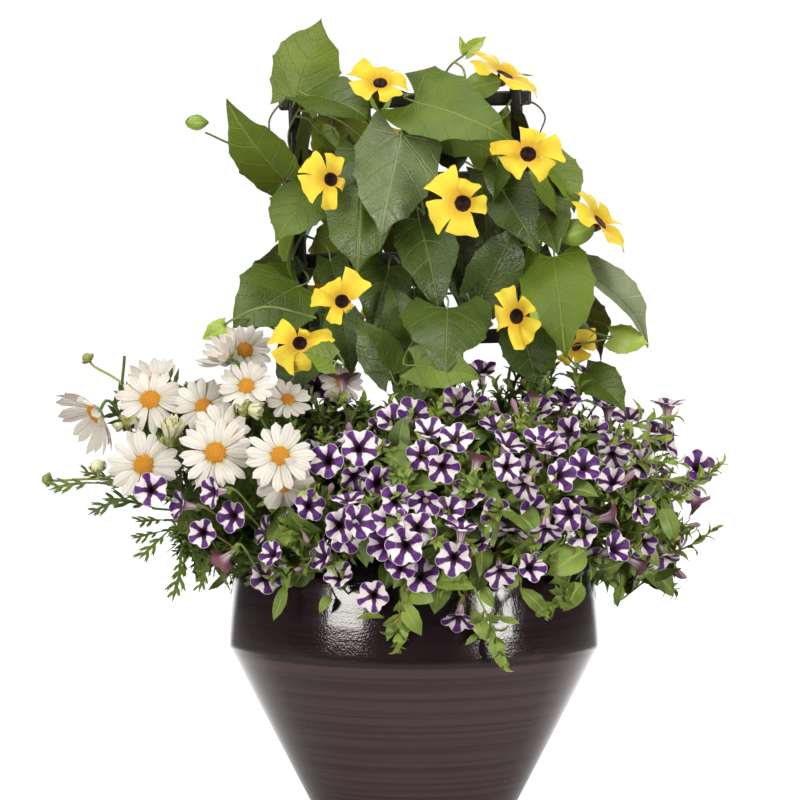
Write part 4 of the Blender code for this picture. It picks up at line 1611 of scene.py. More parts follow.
def front_blooms() -> dict:
    """Where the front's blooms stand, by the way they look: x, height and, off the mound, y, in mm."""
    return {
        Aim.FRONT: (
            (-203, 300, -154), (-112, 229), (-30, 219), (-76, 289), (-52, 275), (-62, 322), (-40, 332),
            (-26, 306), (-13, 294), (-10, 244), (5, 327), (30, 340), (2, 273), (-7, 260), (5, 235),
            (27, 250), (95, 357), (112, 366), (138, 368), (138, 343), (168, 316), (124, 267),
            (-164, 266, -148), (30, 365),
        ),
        Aim.RAISED: (
            (-56, 235), (-49, 296), (-19, 280), (-72, 374), (-15, 352), (0, 357), (45, 390), (45, 363),
            (58, 350), (70, 336), (88, 339), (97, 333), (26, 287), (163, 350), (153, 331), (152, 305),
            (188, 334), (11, 345),
        ),
        Aim.SKY: (
            (-48, 383), (-47, 357), (45, 326), (90, 370), (152, 358), (196, 360), (180, 339), (34, 276),
        ),
        Aim.LEFT: (
            (-156, 300, -178), (-141, 280, -162), (-102, 251), (-71, 249), (-78, 325), (-24, 261),
            (110, 342), (108, 282),
        ),
        Aim.RIGHT: (
            (-39, 279), (122, 318), (106, 311), (172, 281), (148, 254), (86, 241), (222, 308), (222, 291),
        ),
        Aim.DOWN: (
            (-83, 312), (-65, 356), (20, 318), (65, 318), (79, 302), (7, 293), (31, 199), (62, 236),
            (93, 268), (148, 321), (-45, 309), (174, 254),
        ),
        Aim.WEST: ((-182, 288, -150),),
        Aim.EAST: ((146, 279), (208, 325)),
        Aim.NORTH_EAST: ((140, 386), (203, 337)),
        Aim.SOUTH_EAST: ((175, 235), (193, 238), (219, 276)),
        Aim.SOUTH_WEST: ((-150, 243, -140),),
    }


@dataclass
class Calibrachoa:
    """The striped calibrachoa: blooms with their tubes, leafy shoots and thin stems, by clump."""

    mound: Mound
    random: np.random.RandomState = seeded(11)
    radius: float = 0.0121
    tube: float = 0.018
    twig: float = 0.0008
    patch: float = 32.0  # degrees round the mound, for which the next four are counted
    shoots: int = 46
    inner_leaves: int = 60
    hanging_leaves: int = 6
    buds: int = 5
    spans: tuple = (
        ("left", 226, 258), ("front", 258, 288), ("right", 288, 320), ("far_right", 320, 360),
        ("back_right", 0, 66), ("back", 66, 112),
    )
    fill: tuple = (
        ("left", (-82, -62, 348), (26, 16, 22), 12),
        ("front", (-10, -52, 368), (50, 16, 16), 14),
        ("right", (80, -46, 376), (50, 16, 20), 22),
    )

    def __post_init__(self) -> None:
        """Make what is copied, and the materials."""
        draw = self.random.uniform
        self.narrow = [leaflet(0.5, draw(0.29, 0.4), draw(-0.05, 0.25)) for _ in range(5)]
        self.broad = [leaflet(0.42, draw(0.52, 0.64), draw(0.0, 0.25), 7) for _ in range(4)]
        self.wide = [leaflet(0.42, 0.6, bend, 9) for bend in (0.05, 0.15, 0.25)]
        self.sepal = leaflet(0.5, 0.34, 0.05, 4)
        self.masters = [self.bloom() for _ in range(8)]
        self.petal = BloomFinish().material()
        self.green = SmallLeafFinish("calibrachoa_leaf", "425a1a", "9cb44c", "b8c874").material()
        self.stalk = StalkFinish("calibrachoa_stem", "7c9a48", "8a6a45").material()
        spindle = ((0.9, -0.5), (1.4, 2), (2.1, 6), (2.4, 8.5), (1.5, 11), (0.3, 12.5))
        closed = turned_form([mm(*ring) for ring in spindle], 8)
        self.closed = closed.mapped(np.tile([0.0, 2.2], (len(closed.points), 1)))

    def bloom(self) -> Form:
        """One bloom, facing +Z with its throat at the origin: five notched lobes, then the tube behind."""
        random = self.random
        steps = 6
        count = 5 * steps
        cup = random.uniform(-0.06, 0.16)
        sizes = random.uniform(0.93, 1.05, 5)
        tilts = random.uniform(-0.05, 0.07, 5)
        phase = random.uniform(0.0, math.tau)
        marks = np.linspace(-1.0, 1.0, steps + 1)[:-1]
        share = np.tile(marks, 5)
        lobe = np.repeat(np.arange(5), steps)
        edge = np.abs(share)
        outline = (1.05 - 0.15 * edge + 0.015 * np.sin(math.tau * edge)) * sizes[lobe]
        seam = 0.5 * (sizes[lobe] + sizes[(lobe - 1) % 5])
        outline = np.where(edge > 0.99, 0.83 * seam, outline)
        angle = math.tau * (np.arange(count) / count)
        wave = 0.035 * np.sin(3 * angle + phase) + 0.02 * np.sin(7 * angle + 2 * phase)
        rings = []
        profile = (
            (0.07, -0.95, 0, 0), (0.16, -0.55, 0, 0), (0.28, -0.28, 0.05, 0.1), (0.52, -0.09, 0.3, 0.4),
            (0.78, 0.0, 0.8, 0.75), (1.0, -0.01, 1, 1), (0.76, -0.07, 0.8, 0.75), (0.48, -0.18, 0.3, 0.4),
            (0.3, -0.42, 0.05, 0.1), (0.21, -0.85, 0, 0), (0.15, -1.3, 0, 0), (0.09, -1.6, 0, 0),
        )
        for reach, depth, shape, lift in profile:
            radius = reach * (1.0 + shape * (outline - 1.0)) * self.radius
            bulge = lift * (cup * reach + wave + tilts[lobe] - 0.05 * edge**2 + 0.06 * (1.0 - edge))
            height = (depth + bulge) * self.radius
            rings.append(np.stack([radius * np.cos(angle), radius * np.sin(angle), height], axis=1))
        inside = (0.0, 0.12, 0.28, 0.52, 0.78, 1.0)
        outside = (3.0, 2.85, 2.6, 2.4, 2.25, 2.1, 2.0)
        faces = [(one, four, three, two) for one, two, three, four in ring_faces(len(profile), count)]
        last = (len(profile) - 1) * count
        faces += [tuple(range(count)), tuple(range(last + count - 1, last - 1, -1))]
        uvs = []
        for start, end in (*zip(inside, inside[1:]), *zip(outside, outside[1:])):
            for one in np.tile(marks, 5):
                two = one + 2.0 / steps
                uvs += [(one, start), (one, end), (two, end), (two, start)]
        uvs += [(0.0, 0.0)] * count + [(0.0, 2.0)] * count
        return Form(np.concatenate(rings), faces, np.array(uvs))

    def shoot(self, gather: Gather, stems: Gather, route: list, size: float, forms: list) -> None:
        """One leafy shoot.

        Args:
            gather: Where its leaves go.
            stems: Where its stem goes.
            route: Where it starts, inside the mound, a point that it passes, and its end.
            size: The length of its leaves.
            forms: The leaves to choose from.
        """
        random = self.random
        route = curve_points(route, 9)
        stems.add(tube_form(route, np.linspace(0.0011, 0.0006, 9), 5), None, random.uniform(0.0, 1.0))
        count = random.randint(10, 15)
        turn = random.uniform(0.0, math.tau)
        tint = random.uniform(0.0, 0.75)
        for index in range(count):
            share = 0.3 + 0.7 * index / (count - 1)
            at = share * (len(route) - 1)
            low = min(int(at), len(route) - 2)
            point = route[low].lerp(route[low + 1], at - low)
            ahead = (route[low + 1] - route[low]).normalized()
            turn += LEAF_TURN
            out = around(ahead, turn)
            lean = 0.45 + 1.1 * share**2 + random.uniform(-0.15, 0.15)
            along = (out + ahead * lean + UP * 0.15).normalized()
            length = size * (1.05 - 0.55 * share) * random.uniform(0.8, 1.15)
            matrix = frame_of(point, along, ahead * 1.0 - out * 0.4, length)
            form = forms[random.randint(len(forms))]
            gather.add(form, matrix, min(1.0, tint + 0.35 * share**2))

    def build(self) -> None:
        """Plant every clump."""
        random = self.random
        placed = {name: [] for name, _, _ in self.spans}
        for aim, spots in front_blooms().items():
            for x, height, *depth in (mm(*spot) for spot in spots):
                point = Vector((x, depth[0], height)) if depth else self.mound.front(x, height)
                out = random.uniform(0.001, 0.016)
                if not depth:
                    point += Vector((point.x, point.y, 0.0)).normalized() * out
                way = Vector(aim.value) + swerve(random, 0.2)
                if point.x > 0.02:
                    way += UP * min(0.7, max(0.0, (point.z - 0.305) * 14.0))
                turn = math.degrees(math.atan2(point.y, point.x)) % 360
                home = next((name for name, low, high in self.spans if low <= turn < high), "left")
                placed[home].append((point, way))
        taken = [point for spots in placed.values() for point, _ in spots]
        for name, low, high in self.spans:
            if name in ("left", "front", "right"):
                for _ in range(60):
                    point, normal = self.mound.spot(random.uniform(low, high), random.uniform(0.05, 0.85))
                    way = normal + swerve(random, 0.45)
                    if min((point - other).length for other in taken) > 0.02:
                        taken.append(point.copy())
                        placed[name].append((point - normal * 0.007, way))
                continue
            for _ in range(220):
                turn, share = random.uniform(low, high), random.uniform(0.02, 0.88)
                point, normal = self.mound.spot(turn, share)
                if point.y < -0.02 or min((point - other).length for other in taken) < 0.03:
                    continue
                point += normal * random.uniform(0.0, 0.01)
                taken.append(point)
                placed[name].append((point, normal + swerve(random, 0.35)))
        for name, low, high in self.spans:
            self.clump(name, low, high, placed[name])
        self.trails()

    def trails(self) -> None:
        """The trailing shoots, and the broad leaves that hang over the rim at the front."""
        front = (
            ((45, -165, 226), (58, -188, 200), (68, -192, 170)),
            ((-8, -166, 224), (-12, -188, 202), (-13, -192, 184)),
            ((122, -128, 240), (116, -152, 222), (100, -172, 206)),
        )
        right = (
            ((185, -20, 262), (224, -44, 294), (245, -56, 312)),
            ((175, -50, 235), (214, -70, 246), (238, -78, 262)),
            ((135, -60, 322), (168, -90, 334), (196, -98, 336)),
            ((140, -60, 310), (176, -96, 318), (208, -96, 316)),
            ((150, -70, 300), (190, -98, 304), (222, -92, 300)),
            ((150, -60, 330), (180, -80, 348), (204, -82, 352)),
        )
        sides = (("front", front, 0.02, self.broad), ("right", right, 0.022, self.narrow))
        for name, routes, size, forms in sides:
            leaves, stems = Gather(), Gather()
            for route in routes:
                self.shoot(leaves, stems, [mm(*knot) for knot in route], size, forms)
            if name == "front":
                self.fringe(leaves, stems)
            nodes = (f"calibrachoa_shoot_{name}",)
            leaves.piece(f"calibrachoa_trail_{name}_leaves", self.green, Slot.CALIBRACHOA, nodes)
            stems.piece(f"calibrachoa_trail_{name}_stems", self.stalk, Slot.CALIBRACHOA, nodes)

    def fringe(self, leaves: Gather, stems: Gather) -> None:
        """The broad leaves at the bottom edge, each with its own place, length and width.

        Args:
            leaves: Where they go.
            stems: Where their stalks go.
        """
        random = self.random
        rows = (
            (-99, 221, -110, 196, 12), (-64, 212, -74, 205, 8), (-23, 197, -45, 201, 8),
            (-12, 213, 5, 188, 16), (-11, 220, 14, 216, 20), (14, 226, 45, 226, 21),
            (-11, 199, -22, 184, 10), (-9, 197, -12, 177, 10), (52, 222, 60, 210, 10),
            (80, 220, 104, 200, 16), (43, 201, 56, 184, 13), (58, 186, 69, 160, 12),
            (65, 195, 80, 197, 6), (50, 184, 39, 180, 6), (130, 248, 104, 234, 24),
            (128, 222, 116, 205, 16), (193, 277, 206, 254, 15), (160, 219, 158, 205, 8),
        )
        for x, height, end_x, end_height, width in (mm(*row) for row in rows):
            base, tip = self.mound.front(x, height), self.mound.front(end_x, end_height)
            base += base.normalized() * 0.004
            tip = Vector((tip.x, min(tip.y, base.y) - 0.006, tip.z))
            along = tip - base
            form = self.wide if width / along.length > 0.5 else self.narrow
            matrix = frame_of(base, along, FRONT + UP * 0.5 + swerve(random, 0.2), along.length)
            matrix[:3, 0] *= width / along.length / (0.6 if form is self.wide else 0.4)
            leaves.add(form[random.randint(len(form))], matrix, random.uniform(0.35, 0.85))
            root = base + Vector((0.0, 0.02, 0.012))
            knots = [root, base.lerp(root, 0.4) + UP * 0.002, base + along * 0.05]
            stems.add_stem(knots, [self.twig] * 6, 5, 0.2)

    def clump(self, name: str, low: float, high: float, spots: list) -> None:
        """Make one clump's three pieces.

        Args:
            name: The clump.
            low: Where it starts, in degrees.
            high: Where it ends.
            spots: Its blooms, each a point and a direction.
        """
        random = self.random
        blooms, leaves, stems = Gather(), Gather(), Gather()
        for point, way in spots:
            facing = way.normalized()
            size = random.uniform(0.96, 1.2) * (0.9 if point.x < -0.09 else 1.0)
            matrix = frame_of(point, facing.orthogonal(), facing, size)
            turn = random.uniform(0.0, math.tau)
            spin = np.eye(4)
            spin[:2, :2] = ((math.cos(turn), -math.sin(turn)), (math.sin(turn), math.cos(turn)))
            blooms.add(self.masters[random.randint(8)], matrix @ spin, random.uniform(0.0, 1.0))
            tail = point - facing * self.tube
            centre = Vector((point.x * 0.72, point.y * 0.72, min(point.z - 0.03, 0.3)))
            knots = [tail + facing * 0.004, tail - facing * 0.006, tail.lerp(centre, 0.6)]
            stems.add_stem(knots, [0.0021, 0.0024, 0.0016, 0.0009, *[self.twig] * 3], 6, 0.1)
            for index in range(5):
                out = around(facing, math.tau * index / 5 + turn)
                sepal = frame_of(tail - facing * 0.002, facing + out * 0.45, out - facing * 0.4, 0.0085)
                leaves.add(self.sepal, sepal, 0.6)
        area = (high - low) / self.patch
        for _ in range(int(self.shoots * area)):
            turn, share = random.uniform(low, high), random.uniform(0.0, 1.0) ** 0.85
            point, normal = self.mound.spot(turn, share)
            tip = point + normal * random.uniform(-0.014, 0.012)
            inward = normal + swerve(random, 0.35) + UP * (share - 0.35)
            bend = tip - inward.normalized() * 0.022
            foot = bend - (normal * 0.8 + UP * (1.6 * share - 0.5)).normalized() * 0.026
            self.shoot(leaves, stems, [foot, bend, tip], random.uniform(0.016, 0.024), self.narrow)
        # leaves deep inside the mound; their low tint paints them darker, as painted shade
        for _ in range(int(self.inner_leaves * area)):
            turn, share = random.uniform(low, high), random.uniform(0.0, 0.95)
            point, normal = self.mound.spot(turn, share)
            point -= normal * random.uniform(0.016, 0.034)
            along = (swerve(random, 0.6) + normal * 0.4 - UP * 0.2).normalized()
            matrix = frame_of(point, along, normal, random.uniform(0.028, 0.04))
            leaves.add(self.broad[random.randint(4)], matrix, random.uniform(0.0, 0.25))
        for _ in range(int(self.hanging_leaves * area)):
            turn, share = random.uniform(low, high), random.uniform(0.0, 0.2)
            point, normal = self.mound.spot(turn, share)
            along = (swerve(random, 0.45) + normal * 0.5 - UP * 0.6).normalized()
            matrix = frame_of(point - normal * 0.014, along, normal + UP * 0.4, random.uniform(0.016, 0.024))
            leaves.add(self.broad[random.randint(4)], matrix, random.uniform(0.3, 0.9))
        for _ in range(int(self.buds * area)):
            turn, share = random.uniform(low, high), random.uniform(0.02, 0.9)
            point, normal = self.mound.spot(turn, share)
            along = normal + swerve(random, 0.5)
            point += normal * random.uniform(-0.004, 0.008)
            matrix = frame_of(point, along.orthogonal(), along, random.uniform(0.8, 1.2))
            blooms.add(self.closed, matrix, 0.5)
            foot = point - along.normalized() * 0.006
            stems.add_stem([point, foot, foot - normal * 0.02], [self.twig] * 5, 5, 0.2)
        for home, centre, spread, count in self.fill:
            for _ in range(count if home == name else 0):
                tip = Vector(mm(*centre)) + within(random, mm(*spread))
                foot = Vector((tip.x * 0.92, tip.y * 0.7, tip.z - 0.045))
                bend = foot.lerp(tip, 0.55) + swerve(random, 0.006)
                self.shoot(leaves, stems, [foot, bend, tip], random.uniform(0.018, 0.026), self.narrow)
        nodes = (f"calibrachoa_clump_{name}",)
        leaves.piece(f"calibrachoa_{name}_leaves", self.green, Slot.CALIBRACHOA, nodes)
        stems.piece(f"calibrachoa_{name}_stems", self.stalk, Slot.CALIBRACHOA, nodes)
        blooms.piece(f"calibrachoa_{name}_blooms", self.petal, Slot.CALIBRACHOA, nodes)


# ---------------------------------------------------------------- the daisies


@dataclass(frozen=True)
class Daisy:
    """One daisy: the middle of its face, where it looks, its width and how its rays stand."""

    centre: tuple
    facing: tuple
    width: float
    lift: float
    rays: int
    nodes: tuple = ()


def daisies() -> list:
    """The open daisies, their lengths in millimetres; the first nine stand for nodes."""
    rows = (
        ((-210, -138, 318), (-0.1, -0.98, 0.15), 58, 0.02, 15),
        ((-153, -160, 329), (0.05, -0.97, 0.22), 60, -0.04, 18),
        ((-103, -166, 327), (0.22, -0.92, 0.28), 55, 0, 15),
        ((-209, -84, 366), (-0.05, -0.85, 0.5), 59, -0.05, 17),
        ((-166, -94, 361), (0.1, -0.9, 0.4), 50, 0, 15),
        ((-132, -102, 377.5), (0, -0.9, 0.4), 46, 0.06, 18),
        ((-134, -80, 405), (0.15, -0.9, 0.4), 47, -0.04, 15),
        ((-254, -72, 353), (-0.68, -0.42, -0.52), 68, 0.3, 18),
        ((-209, -30, 380), (-0.25, -0.45, 0.85), 46, 0.3, 12),
        ((-148, -92, 401), (-0.7, -0.25, 0.68), 52, 0.4, 18),
        ((-100, -84, 366), (0.2, -0.75, 0.6), 40, 0.05, 14),
        ((-100, -158, 304), (0.2, -0.88, -0.42), 48, 0.02, 9),
        ((-150, -125, 345), (0.1, -0.9, 0.42), 46, 0.04, 13),
        ((-58, -50, 378), (0.1, -0.9, 0.4), 38, 0, 15),
        ((-190, 80, 350), (-0.6, 0.75, 0.35), 56, 0.03, 20),
        ((-130, 130, 345), (-0.3, 0.9, 0.3), 58, 0.02, 21),
        ((-222, 40, 330), (-0.9, 0.35, 0.25), 54, 0.04, 20),
        ((-90, 156, 315), (-0.2, 0.95, 0.2), 54, 0.04, 20),
        ((-176, 116, 300), (-0.6, 0.78, 0.1), 52, 0.04, 20),
    )
    return [
        Daisy(mm(*centre), facing, width / 1000, lift, rays, numbered("daisy", index, 9))
        for index, (centre, facing, width, lift, rays) in enumerate(rows)
    ]


@dataclass
class Daisies:
    """The daisies: rays, discs, cups and stalks, the buds and the lobed foliage."""

    mound: Mound
    random: np.random.RandomState = seeded(23)
    sheet: Form = field(default_factory=lambda: sheet_form(4, 8))
    fill: tuple = (0.066, 0.01, 0.04)
    florets: int = 110
    ray_wall: float = 0.00028
    twig: float = 0.0011
    golden_angle: float = 2.39996

    def __post_init__(self) -> None:
        """Make the materials."""
        self.finishes = {
            "ray": RayFinish().material(),
            "disc": DiscFinish().material(),
            "green": StalkFinish("daisy_stalk", "6f9440", "557a34").material(),
            "bud": StalkFinish("daisy_bud_green", "b6b468", "86964a").material(),
            "cream": replace(RayFinish(), white="f3eecb", shade="dcd8a8", foot="c5c67c").material(),
            "leaf": SmallLeafFinish("daisy_leaf", "344a14", "748e30", "8a9f4c").material(),
        }

    def ray(self, length: float, width: float, bend: float, twist: float) -> Form:
        """One ray: x across, y along from the disc's edge and z out."""
        u, v = self.sheet.points[:, 0], self.sheet.points[:, 1]
        marks = [0.0, 0.12, 0.4, 0.7, 0.86, 0.95, 1.0]
        half = width / 2 * np.interp(v, marks, [0.34, 0.58, 0.92, 1.0, 0.88, 0.66, 0.34])
        tip = 1.0 - 0.02 * np.clip(v - 0.8, 0.0, 1.0) * 5.0 * (0.5 - 0.5 * np.cos(u * 9.4))
        y = length * v * (tip - 0.05 * u**2 * v**4)
        x = u * half
        groove = np.exp(-(((np.abs(u) - 0.36) / 0.16) ** 2)) * np.sin(math.pi * np.clip(v, 0, 1)) ** 0.5
        z = length * (bend * v**2) - 0.09 * width * u**2 - 0.022 * width * groove
        z = z + twist * x * v
        return self.sheet.shaped(np.stack([x, y, z], axis=1))

    def add_daisy(self, name: str, daisy: Daisy) -> None:
        """Make a daisy's rays, disc and stalk.

        Args:
            name: The daisy's name.
            daisy: What is made.
        """
        random = self.random
        centre, facing = Vector(daisy.centre), Vector(daisy.facing).normalized()
        matrix = standing(centre, facing)
        inner = daisy.width * 0.125
        rays = Gather()
        for index in range(daisy.rays):
            angle = math.tau * (index + random.uniform(-0.18, 0.18)) / daisy.rays
            length = (daisy.width / 2 - inner) * random.uniform(0.86, 1.05)
            width = 3.1 * daisy.width / daisy.rays * random.uniform(0.66, 0.84)
            bend = daisy.lift + random.uniform(-0.16, 0.08)
            form = self.ray(length, width, bend, random.uniform(-0.35, 0.35))
            out = Vector((math.cos(angle), math.sin(angle), random.uniform(-0.09, 0.12) + daisy.lift))
            local = frame_of(Vector((inner * out.x, inner * out.y, -0.001 * (index % 2))), out, UP)
            rays.add(form, matrix @ local, random.uniform(0.0, 1.0))
        rays.piece(f"{name}_rays", self.finishes["ray"], Slot.DAISY_PETAL, daisy.nodes, self.ray_wall)
        disc = Gather()
        radius = daisy.width * 0.138
        dome = (
            (0.6, -0.35), (1, -0.12), (0.92, 0.03), (0.75, 0.15), (0.5, 0.24), (0.25, 0.29), (0.0002, 0.3),
        )
        disc.add(turned_form([(share * radius, rise * radius) for share, rise in dome], 24), matrix, 0.8)
        floret = turned_form([(1.0, -0.6), (0.8, 0.35), (0.02, 0.82)], 5)
        for index in range(self.florets):
            share = math.sqrt((index + 0.5) / self.florets)
            angle = self.golden_angle * index
            rise = float(np.interp(share, [0.0, 0.5, 0.75, 1.0], [0.29, 0.24, 0.15, -0.02])) * radius
            size = radius * 0.075 * (0.8 + 0.35 * share)
            spot = Vector((share * radius * math.cos(angle), share * radius * math.sin(angle), rise))
            out = Vector((spot.x * 0.5, spot.y * 0.5, radius * 0.8))
            local = frame_of(spot, out.orthogonal(), out, size)
            disc.add(floret, matrix @ local, (1.0 - share**3) * random.uniform(0.6, 1.0))
        disc.piece(f"{name}_disc", self.finishes["disc"], Slot.DAISY_PETAL)
        green = Gather()
        cup = ((0.0018, -0.62), (0.45, -0.6), (0.8, -0.42), (0.97, -0.16), (0.9, -0.1))
        green.add(turned_form([(share * radius, rise * radius) for share, rise in cup], 18), matrix, 0.5)
        back = centre - facing * radius * 0.6
        foot = Vector((centre.x * 0.7, centre.y * 0.45, min(centre.z - 0.04, 0.3)))
        knots = [back + facing * 0.001, back - facing * 0.012, back.lerp(foot, 0.5) - UP * 0.006, foot]
        green.add_stem(knots, np.linspace(0.0014, 0.0011, 14), 7, 0.4)
        green.piece(f"{name}_stalk", self.finishes["green"], Slot.DAISY_GREEN)

    def add_buds(self) -> None:
        """The half-open heads and the buds on their stalks."""
        random = self.random
        green, white, closed = Gather(), Gather(), Gather()
        ball = (
            (0.25, -0.95), (0.72, -0.8), (0.96, -0.35), (0.92, 0.15), (0.7, 0.55), (0.34, 0.8), (0.02, 0.84),
        )
        for place, way, size, reach, foot in (
            ((-189, -135, 339), (0.15, -0.3, 1.0), 0.0074, 2.4, (-165, -80, 285)),
            ((-129, -128, 361), (1.0, -0.4, -0.1), 0.0058, 2.2, (-140, -80, 290)),
            ((-229, -100, 347), (-0.8, -0.4, -0.35), 0.0058, 1.5, (-190, -50, 300)),
            ((-250, -90, 314), (-0.2, -0.4, 0.9), 0.0056, 1.0, (-195, -50, 290)),
            ((-266, -10, 396), (-0.6, 0.0, 0.7), 0.0046, 0.0, (-205, -20, 340)),
            ((-296, -40, 299), (-1.0, -0.1, 0.1), 0.0048, 0.0, (-195, -30, 286)),
            ((-138, -100, 367), (0.0, -0.5, 0.9), 0.0045, 0.0, (-130, -70, 290)),
            ((-150, 150, 330), (-0.3, 0.8, 0.6), 0.005, 0.0, (-120, 110, 285)),
        ):
            centre, foot, facing = Vector(mm(*place)), Vector(mm(*foot)), Vector(way).normalized()
            matrix = frame_of(centre, facing.orthogonal(), facing, size)
            green.add(turned_form(ball[:4] if reach else ball, 14), matrix, 0.7)
            for index in range(8):
                angle = math.tau * index / 8
                out = Vector((math.cos(angle), math.sin(angle), 0.0))
                scale = frame_of(out * 0.8 - UP * 0.75, out * 0.25 + UP, out)
                green.add(leaflet(0.4, 0.62, -0.25), matrix @ scale, 0.2)
            if reach == 1.0:
                closed.add(turned_form([(part * 1.03, rise) for part, rise in ball[1:]], 14), matrix, 0.4)
            elif reach:
                for index in range(24):
                    angle = LEAF_TURN * index
                    flare = (0.15 + 0.45 * index / 24) * reach / 2.2
                    out = Vector((math.cos(angle) * flare, math.sin(angle) * flare, 1.0))
                    root = Vector((out.x * 0.9, out.y * 0.9, -0.2))
                    local = frame_of(root, out, Vector((out.x, out.y, -0.3)))
                    curl = -0.1 if reach > 1.2 else -0.55
                    form = self.ray(reach * random.uniform(0.85, 1.1), 0.66, curl, 0.2)
                    white.add(form, matrix @ local, random.uniform(0.3, 1.0))
            middle = centre.lerp(foot, 0.5) + UP * 0.006
            knots = [centre - facing * size * 0.8, centre - facing * size * 2.2, middle, foot]
            green.add_stem(knots, [self.twig] * 14, 6, 0.4)
        cream, nodes = self.finishes["cream"], ("daisy_bud",)
        green.piece("daisy_buds", self.finishes["bud"], Slot.DAISY_GREEN, nodes)
        closed.piece("daisy_bud_closed", cream, Slot.DAISY_PETAL)
        white.piece("daisy_bud_rays", cream, Slot.DAISY_PETAL, nodes, thickness=0.00025)

    def add_foliage(self, name: str, low: float, high: float, count: int) -> None:
        """The lobed leaves of one clump, in tufts on short stems.

        Args:
            name: The clump.
            low: Where it starts, in degrees.
            high: Where it ends.
            count: How many tufts.
        """
        random = self.random
        masters = [feathered(random, name == "front") for _ in range(6)]
        bare = [feathered(random, False) for _ in range(3)]
        plain = leaflet(0.55, 0.22, 0.1)
        leaves = Gather()
        for _ in range(count):
            turn, share = random.uniform(low, high), random.uniform(0.0, 1.0) ** 0.8
            point, normal = self.mound.spot(turn, share)
            tip = point + normal * random.uniform(-0.02, 0.006)
            outward = normal * 0.9 + UP * (1.4 * share - 0.45) + swerve(random, 0.25)
            foot = tip - outward.normalized() * 0.045
            leaves.add_stem([foot, foot.lerp(tip, 0.5) + UP * 0.004, tip], [self.twig] * 6, 5)
            ahead = (tip - foot).normalized()
            spin = random.uniform(0.0, math.tau)
            for index in range(8):
                at = foot.lerp(tip, 0.35 + 0.65 * index / 7)
                spin += LEAF_TURN
                out = around(ahead, spin)
                along = out + ahead * random.uniform(0.3, 1.3) - UP * 0.1
                size = random.uniform(0.026, 0.044) * (1.0 - 0.35 * index / 7)
                form = masters[random.randint(6)] if random.uniform() < 0.8 else plain
                leaves.add(form, frame_of(at, along, ahead - out * 0.3, size), random.uniform(0.0, 0.9))
        if name == "front":
            for _ in range(46):
                tip = Vector((-0.165, -0.108, 0.322)) + within(random, self.fill)
                tip.x += (0.35 - tip.z) * 0.4
                tip.y += 0.058 * min(1.0, max(0.0, (tip.z - 0.315) / 0.025))
                foot = Vector((tip.x * 0.86, tip.y * 0.66, tip.z - 0.045))
                leaves.add_stem([foot, foot.lerp(tip, 0.5), tip], [self.twig] * 6, 5)
                for index in range(5):
                    along = tip - foot + swerve(random, 0.03)
                    place = foot.lerp(tip, 0.3 + 0.14 * index)
                    matrix = frame_of(place, along, FRONT, random.uniform(0.026, 0.04))
                    leaves.add(bare[random.randint(3)], matrix, random.uniform(0.0, 0.7))
            slim = Matrix.Diagonal((0.62, 1.0, 0.8, 1.0))
            sprigs = (
                ((-206, -50, 276), (-246, -62, 286)), ((-197, -60, 268), (-222, -82, 266)),
                ((-184, -70, 250), (-186, -92, 226)), ((-180, -80, 242), (-190, -104, 211)),
                ((-177, -80, 247), (-168, -100, 228)), ((-214, -60, 292), (-246, -66, 300)),
                ((-200, -40, 258), (-226, -50, 250)), ((-160, -110, 244), (-168, -126, 220)),
                ((-250, -64, 298), (-289, -70, 295)), ((-236, -60, 298), (-264, -68, 308)),
                ((-224, -72, 288), (-257, -80, 276)), ((-192, -80, 264), (-216, -90, 239)),
            )
            for sprig in sprigs:
                base, tip = (Vector(mm(*end)) for end in sprig)
                along = tip - base
                matrix = frame_of(base, along, FRONT + UP * 0.6, along.length * 1.06) @ slim
                leaves.add(masters[random.randint(6)], matrix, random.uniform(0.3, 0.8))
                foot = base * 0.86 + UP * 0.036
                leaves.add_stem([foot, base, base + along * 0.1], [0.001] * 6, 5)
            bare_stalk = (mm(-205, -50, 340), mm(-232, -50, 366), mm(-232, -50, 399))
            leaves.add_stem(bare_stalk, [0.0013] * 8)
        nodes = (f"daisy_clump_{name}",)
        leaves.piece(f"daisy_{name}_leaves", self.finishes["leaf"], Slot.DAISY_GREEN, nodes)

    def build(self) -> None:
        """Plant the daisies."""
        for index, daisy in enumerate(daisies()):
            self.add_daisy(f"daisy_head_{index + 1:02d}", daisy)
        self.add_buds()
        self.add_foliage("front", 180, 226, 60)
        self.add_foliage("back", 112, 180, 80)


# ---------------------------------------------------------------- the studio


